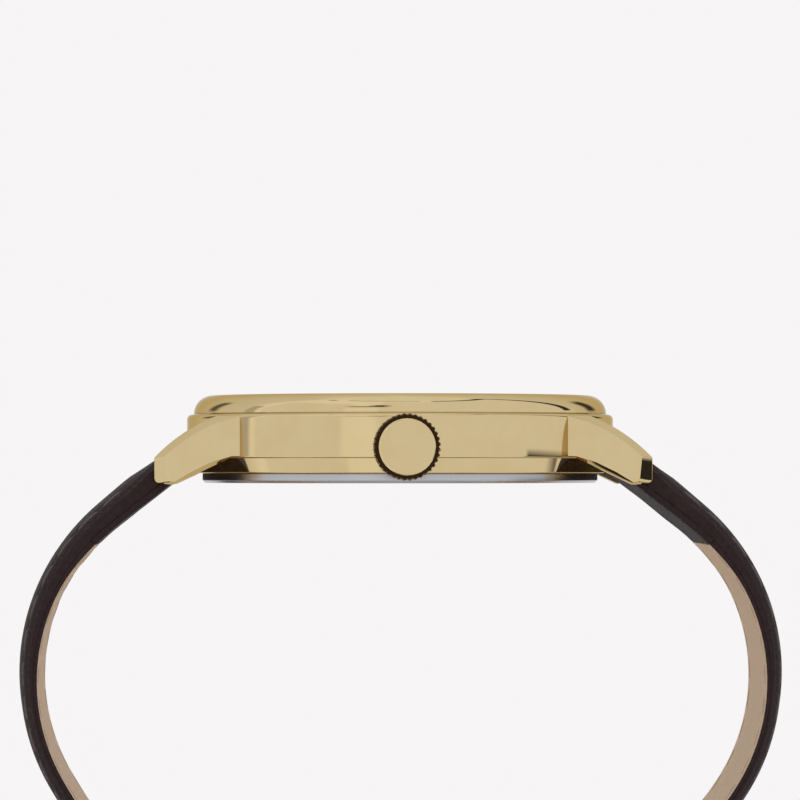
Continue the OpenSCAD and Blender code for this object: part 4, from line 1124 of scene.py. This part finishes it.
def dial_pieces():
    build = Build()
    points, faces, _ = lathe_data(rounded([(0.85, 5.0), (17.5, 5.0), (17.5, 5.4), (0.85, 5.4)], 0.02, 3), 288)
    build.add(points, faces)
    for i in range(60):
        a = 2 * math.pi * i / 60
        wide, r0, r1 = (0.16, 15.05, 15.7) if i % 5 == 0 else (0.07, 15.25, 15.7)
        ring = [(r0, -wide / 2), (r1, -wide / 2), (r1, wide / 2), (r0, wide / 2)]
        flat = [(r * math.cos(a) - w * math.sin(a), r * math.sin(a) + w * math.cos(a)) for r, w in ring]
        points = [(x, y, 5.401) for x, y in flat] + [(x, y, 5.412) for x, y in flat]
        sides = [(0, 1, 5, 4), (1, 2, 6, 5), (2, 3, 7, 6), (3, 0, 4, 7)]
        build.add(points, [(3, 2, 1, 0), (4, 5, 6, 7)] + sides, 1)
    build.piece("dial_plate", [DIAL, INK], "case", ["dial"])
    build = Build()
    for i in range(12):
        a = math.radians(30 * i)
        half = 1.6 if i % 3 == 0 else 1.1
        rings = []
        for x in (-half, -half + 0.1, half - 0.1, half):
            lift = 0.7 if abs(x) == half else 1
            ridge = ((-0.24, 0), (-0.24, 0.12), (0, 0.22), (0.24, 0.12), (0.24, 0))
            ring = [(13.9 + x, w, 5.4 + h * lift) for w, h in ridge]
            rings.append([
                (r * math.cos(a) - w * math.sin(a), r * math.sin(a) + w * math.cos(a), z) for r, w, z in ring
            ])
        points, faces, _ = loft(rings)
        build.add(points, faces)
    build.piece("applied_markers", GOLD, "case", ["hour_markers"], math.radians(15))
    facet_hand("hour_baton", 9.6, 2.2, 1.1, 0.77, 5.68, 0.14, 54.7, "hours", "hour_hand")
    facet_hand("minute_baton", 14.0, 2.6, 0.9, 0.44, 6.06, 0.12, -63.5, "minutes", "minute_hand")
    facet_hand("seconds_needle", 14.6, 4.0, 0.3, 0.16, 6.39, 0.08, 150, "seconds", "second_hand")


# ---------------------------------------------------------------- buckle
BUCKLE = route_at(SHORT, SHORT_LEN)


def at_buckle(x, y, z):
    """A point in the buckle's own frame, whose bar is at its origin."""
    px, pz, t = BUCKLE
    n = LOOP_N + z
    return (px + n * math.sin(t) + x * math.cos(t), y, pz + n * math.cos(t) - x * math.sin(t))


def buckle_pieces():
    half, ear, reach = 8.3, 1.6, 8.6
    outer, inner = half + ear, half
    path = [(-0.9, -(outer + inner) / 2)]
    path += [(x, -(outer + inner) / 2) for x in np.linspace(0, reach - 1.2, 6)]
    centre_r = 1.75
    cx, cy = reach + 0.95 - centre_r, (outer + inner) / 2 - centre_r
    turns = np.linspace(0.1, math.pi / 2, 9)
    path += [(cx + centre_r * math.sin(t), -cy - centre_r * math.cos(t)) for t in turns]
    path += [(reach + 0.95, y) for y in np.linspace(-cy + 0.8, cy - 0.8, 9)]
    path += [(x, -y) for x, y in reversed(path[:16])]
    build = Build()
    rings = []
    last = len(path) - 1
    for i, (x, y) in enumerate(path):
        ahead, behind = Vector(path[min(last, i + 1)]), Vector(path[max(0, i - 1)])
        way = (ahead - behind).normalized()
        out = Vector((way.y, -way.x))
        wide = ear / 2 if x < reach - 0.4 else 0.95
        end = 0.8 if i in (0, last) else 1
        corners = [(-wide, -1.05), (wide, -1.05), (wide, 0.85), (-wide, 0.85)]
        section = rounded(corners, [0.3, 0.45, 0.7, 0.45], 4)
        rings.append([at_buckle(x + out.x * a * end, y + out.y * a * end, b * end) for a, b in section])
    points, faces, _ = loft(rings)
    build.add(points, faces)
    build.piece("buckle_rim", GOLD, "buckle", ["buckle_frame"], math.radians(40))

    build = Build()
    curl = np.linspace(math.radians(-55), math.radians(-265), 26)
    spine = [(1.13 * math.cos(t), 1.13 * math.sin(t)) for t in curl]
    spine += [
        (x, 1.12 + 0.22 * math.sin(math.pi * x / 11.2) * -1 + 0.75 * smooth(x, 6.2, 9.4))
        for x in np.linspace(0.6, 10.2, 22)
    ]
    rings = []
    last = len(spine) - 1
    for i, (x, z) in enumerate(spine):
        ahead, behind = Vector(spine[min(last, i + 1)]), Vector(spine[max(0, i - 1)])
        way = (ahead - behind).normalized()
        up = Vector((-way.y, way.x))
        if i < 26:
            up = Vector((x, z)).normalized()
        wide = 0.95 * (1 - 0.35 * smooth(x, 7, 10.2)) if i >= 26 else 0.95
        thick = (0.37 if i < last else 0.2) if i < 26 else 0.42 * (1 - 0.35 * smooth(x, 8.6, 10.2))
        section = rounded([(-wide, -thick), (wide, -thick), (wide, thick), (-wide, thick)], 0.22, 3)
        rings.append([at_buckle(x + up.x * b, a, z + up.y * b) for a, b in section])
    points, faces, _ = loft(rings)
    build.add(points, faces)
    build.piece("buckle_tongue", GOLD, "tang", ["buckle_tang"], math.radians(45))


def paint_nodes():
    for mat, names in NODE_PAINTS.items():
        for name in names:
            slots = NODES[name].data.materials
            slots.clear()
            slots.append(mat)


paint_nodes()
make_camera()
make_world()
make_floor()
make_studio()
case_pieces()
crown_piece()
dial_pieces()
strap(12, SHORT, SHORT_LEN, 0, True, "strap_12", 1)
punch(strap(6, LONG, LONG_LEN, TIP, False, "strap_6", -1))
keeper("keeper_fixed", 62.6, "strap_12", "fixed_keeper")
keeper("keeper_free", 54.0, "keeper", "free_keeper")
buckle_pieces()
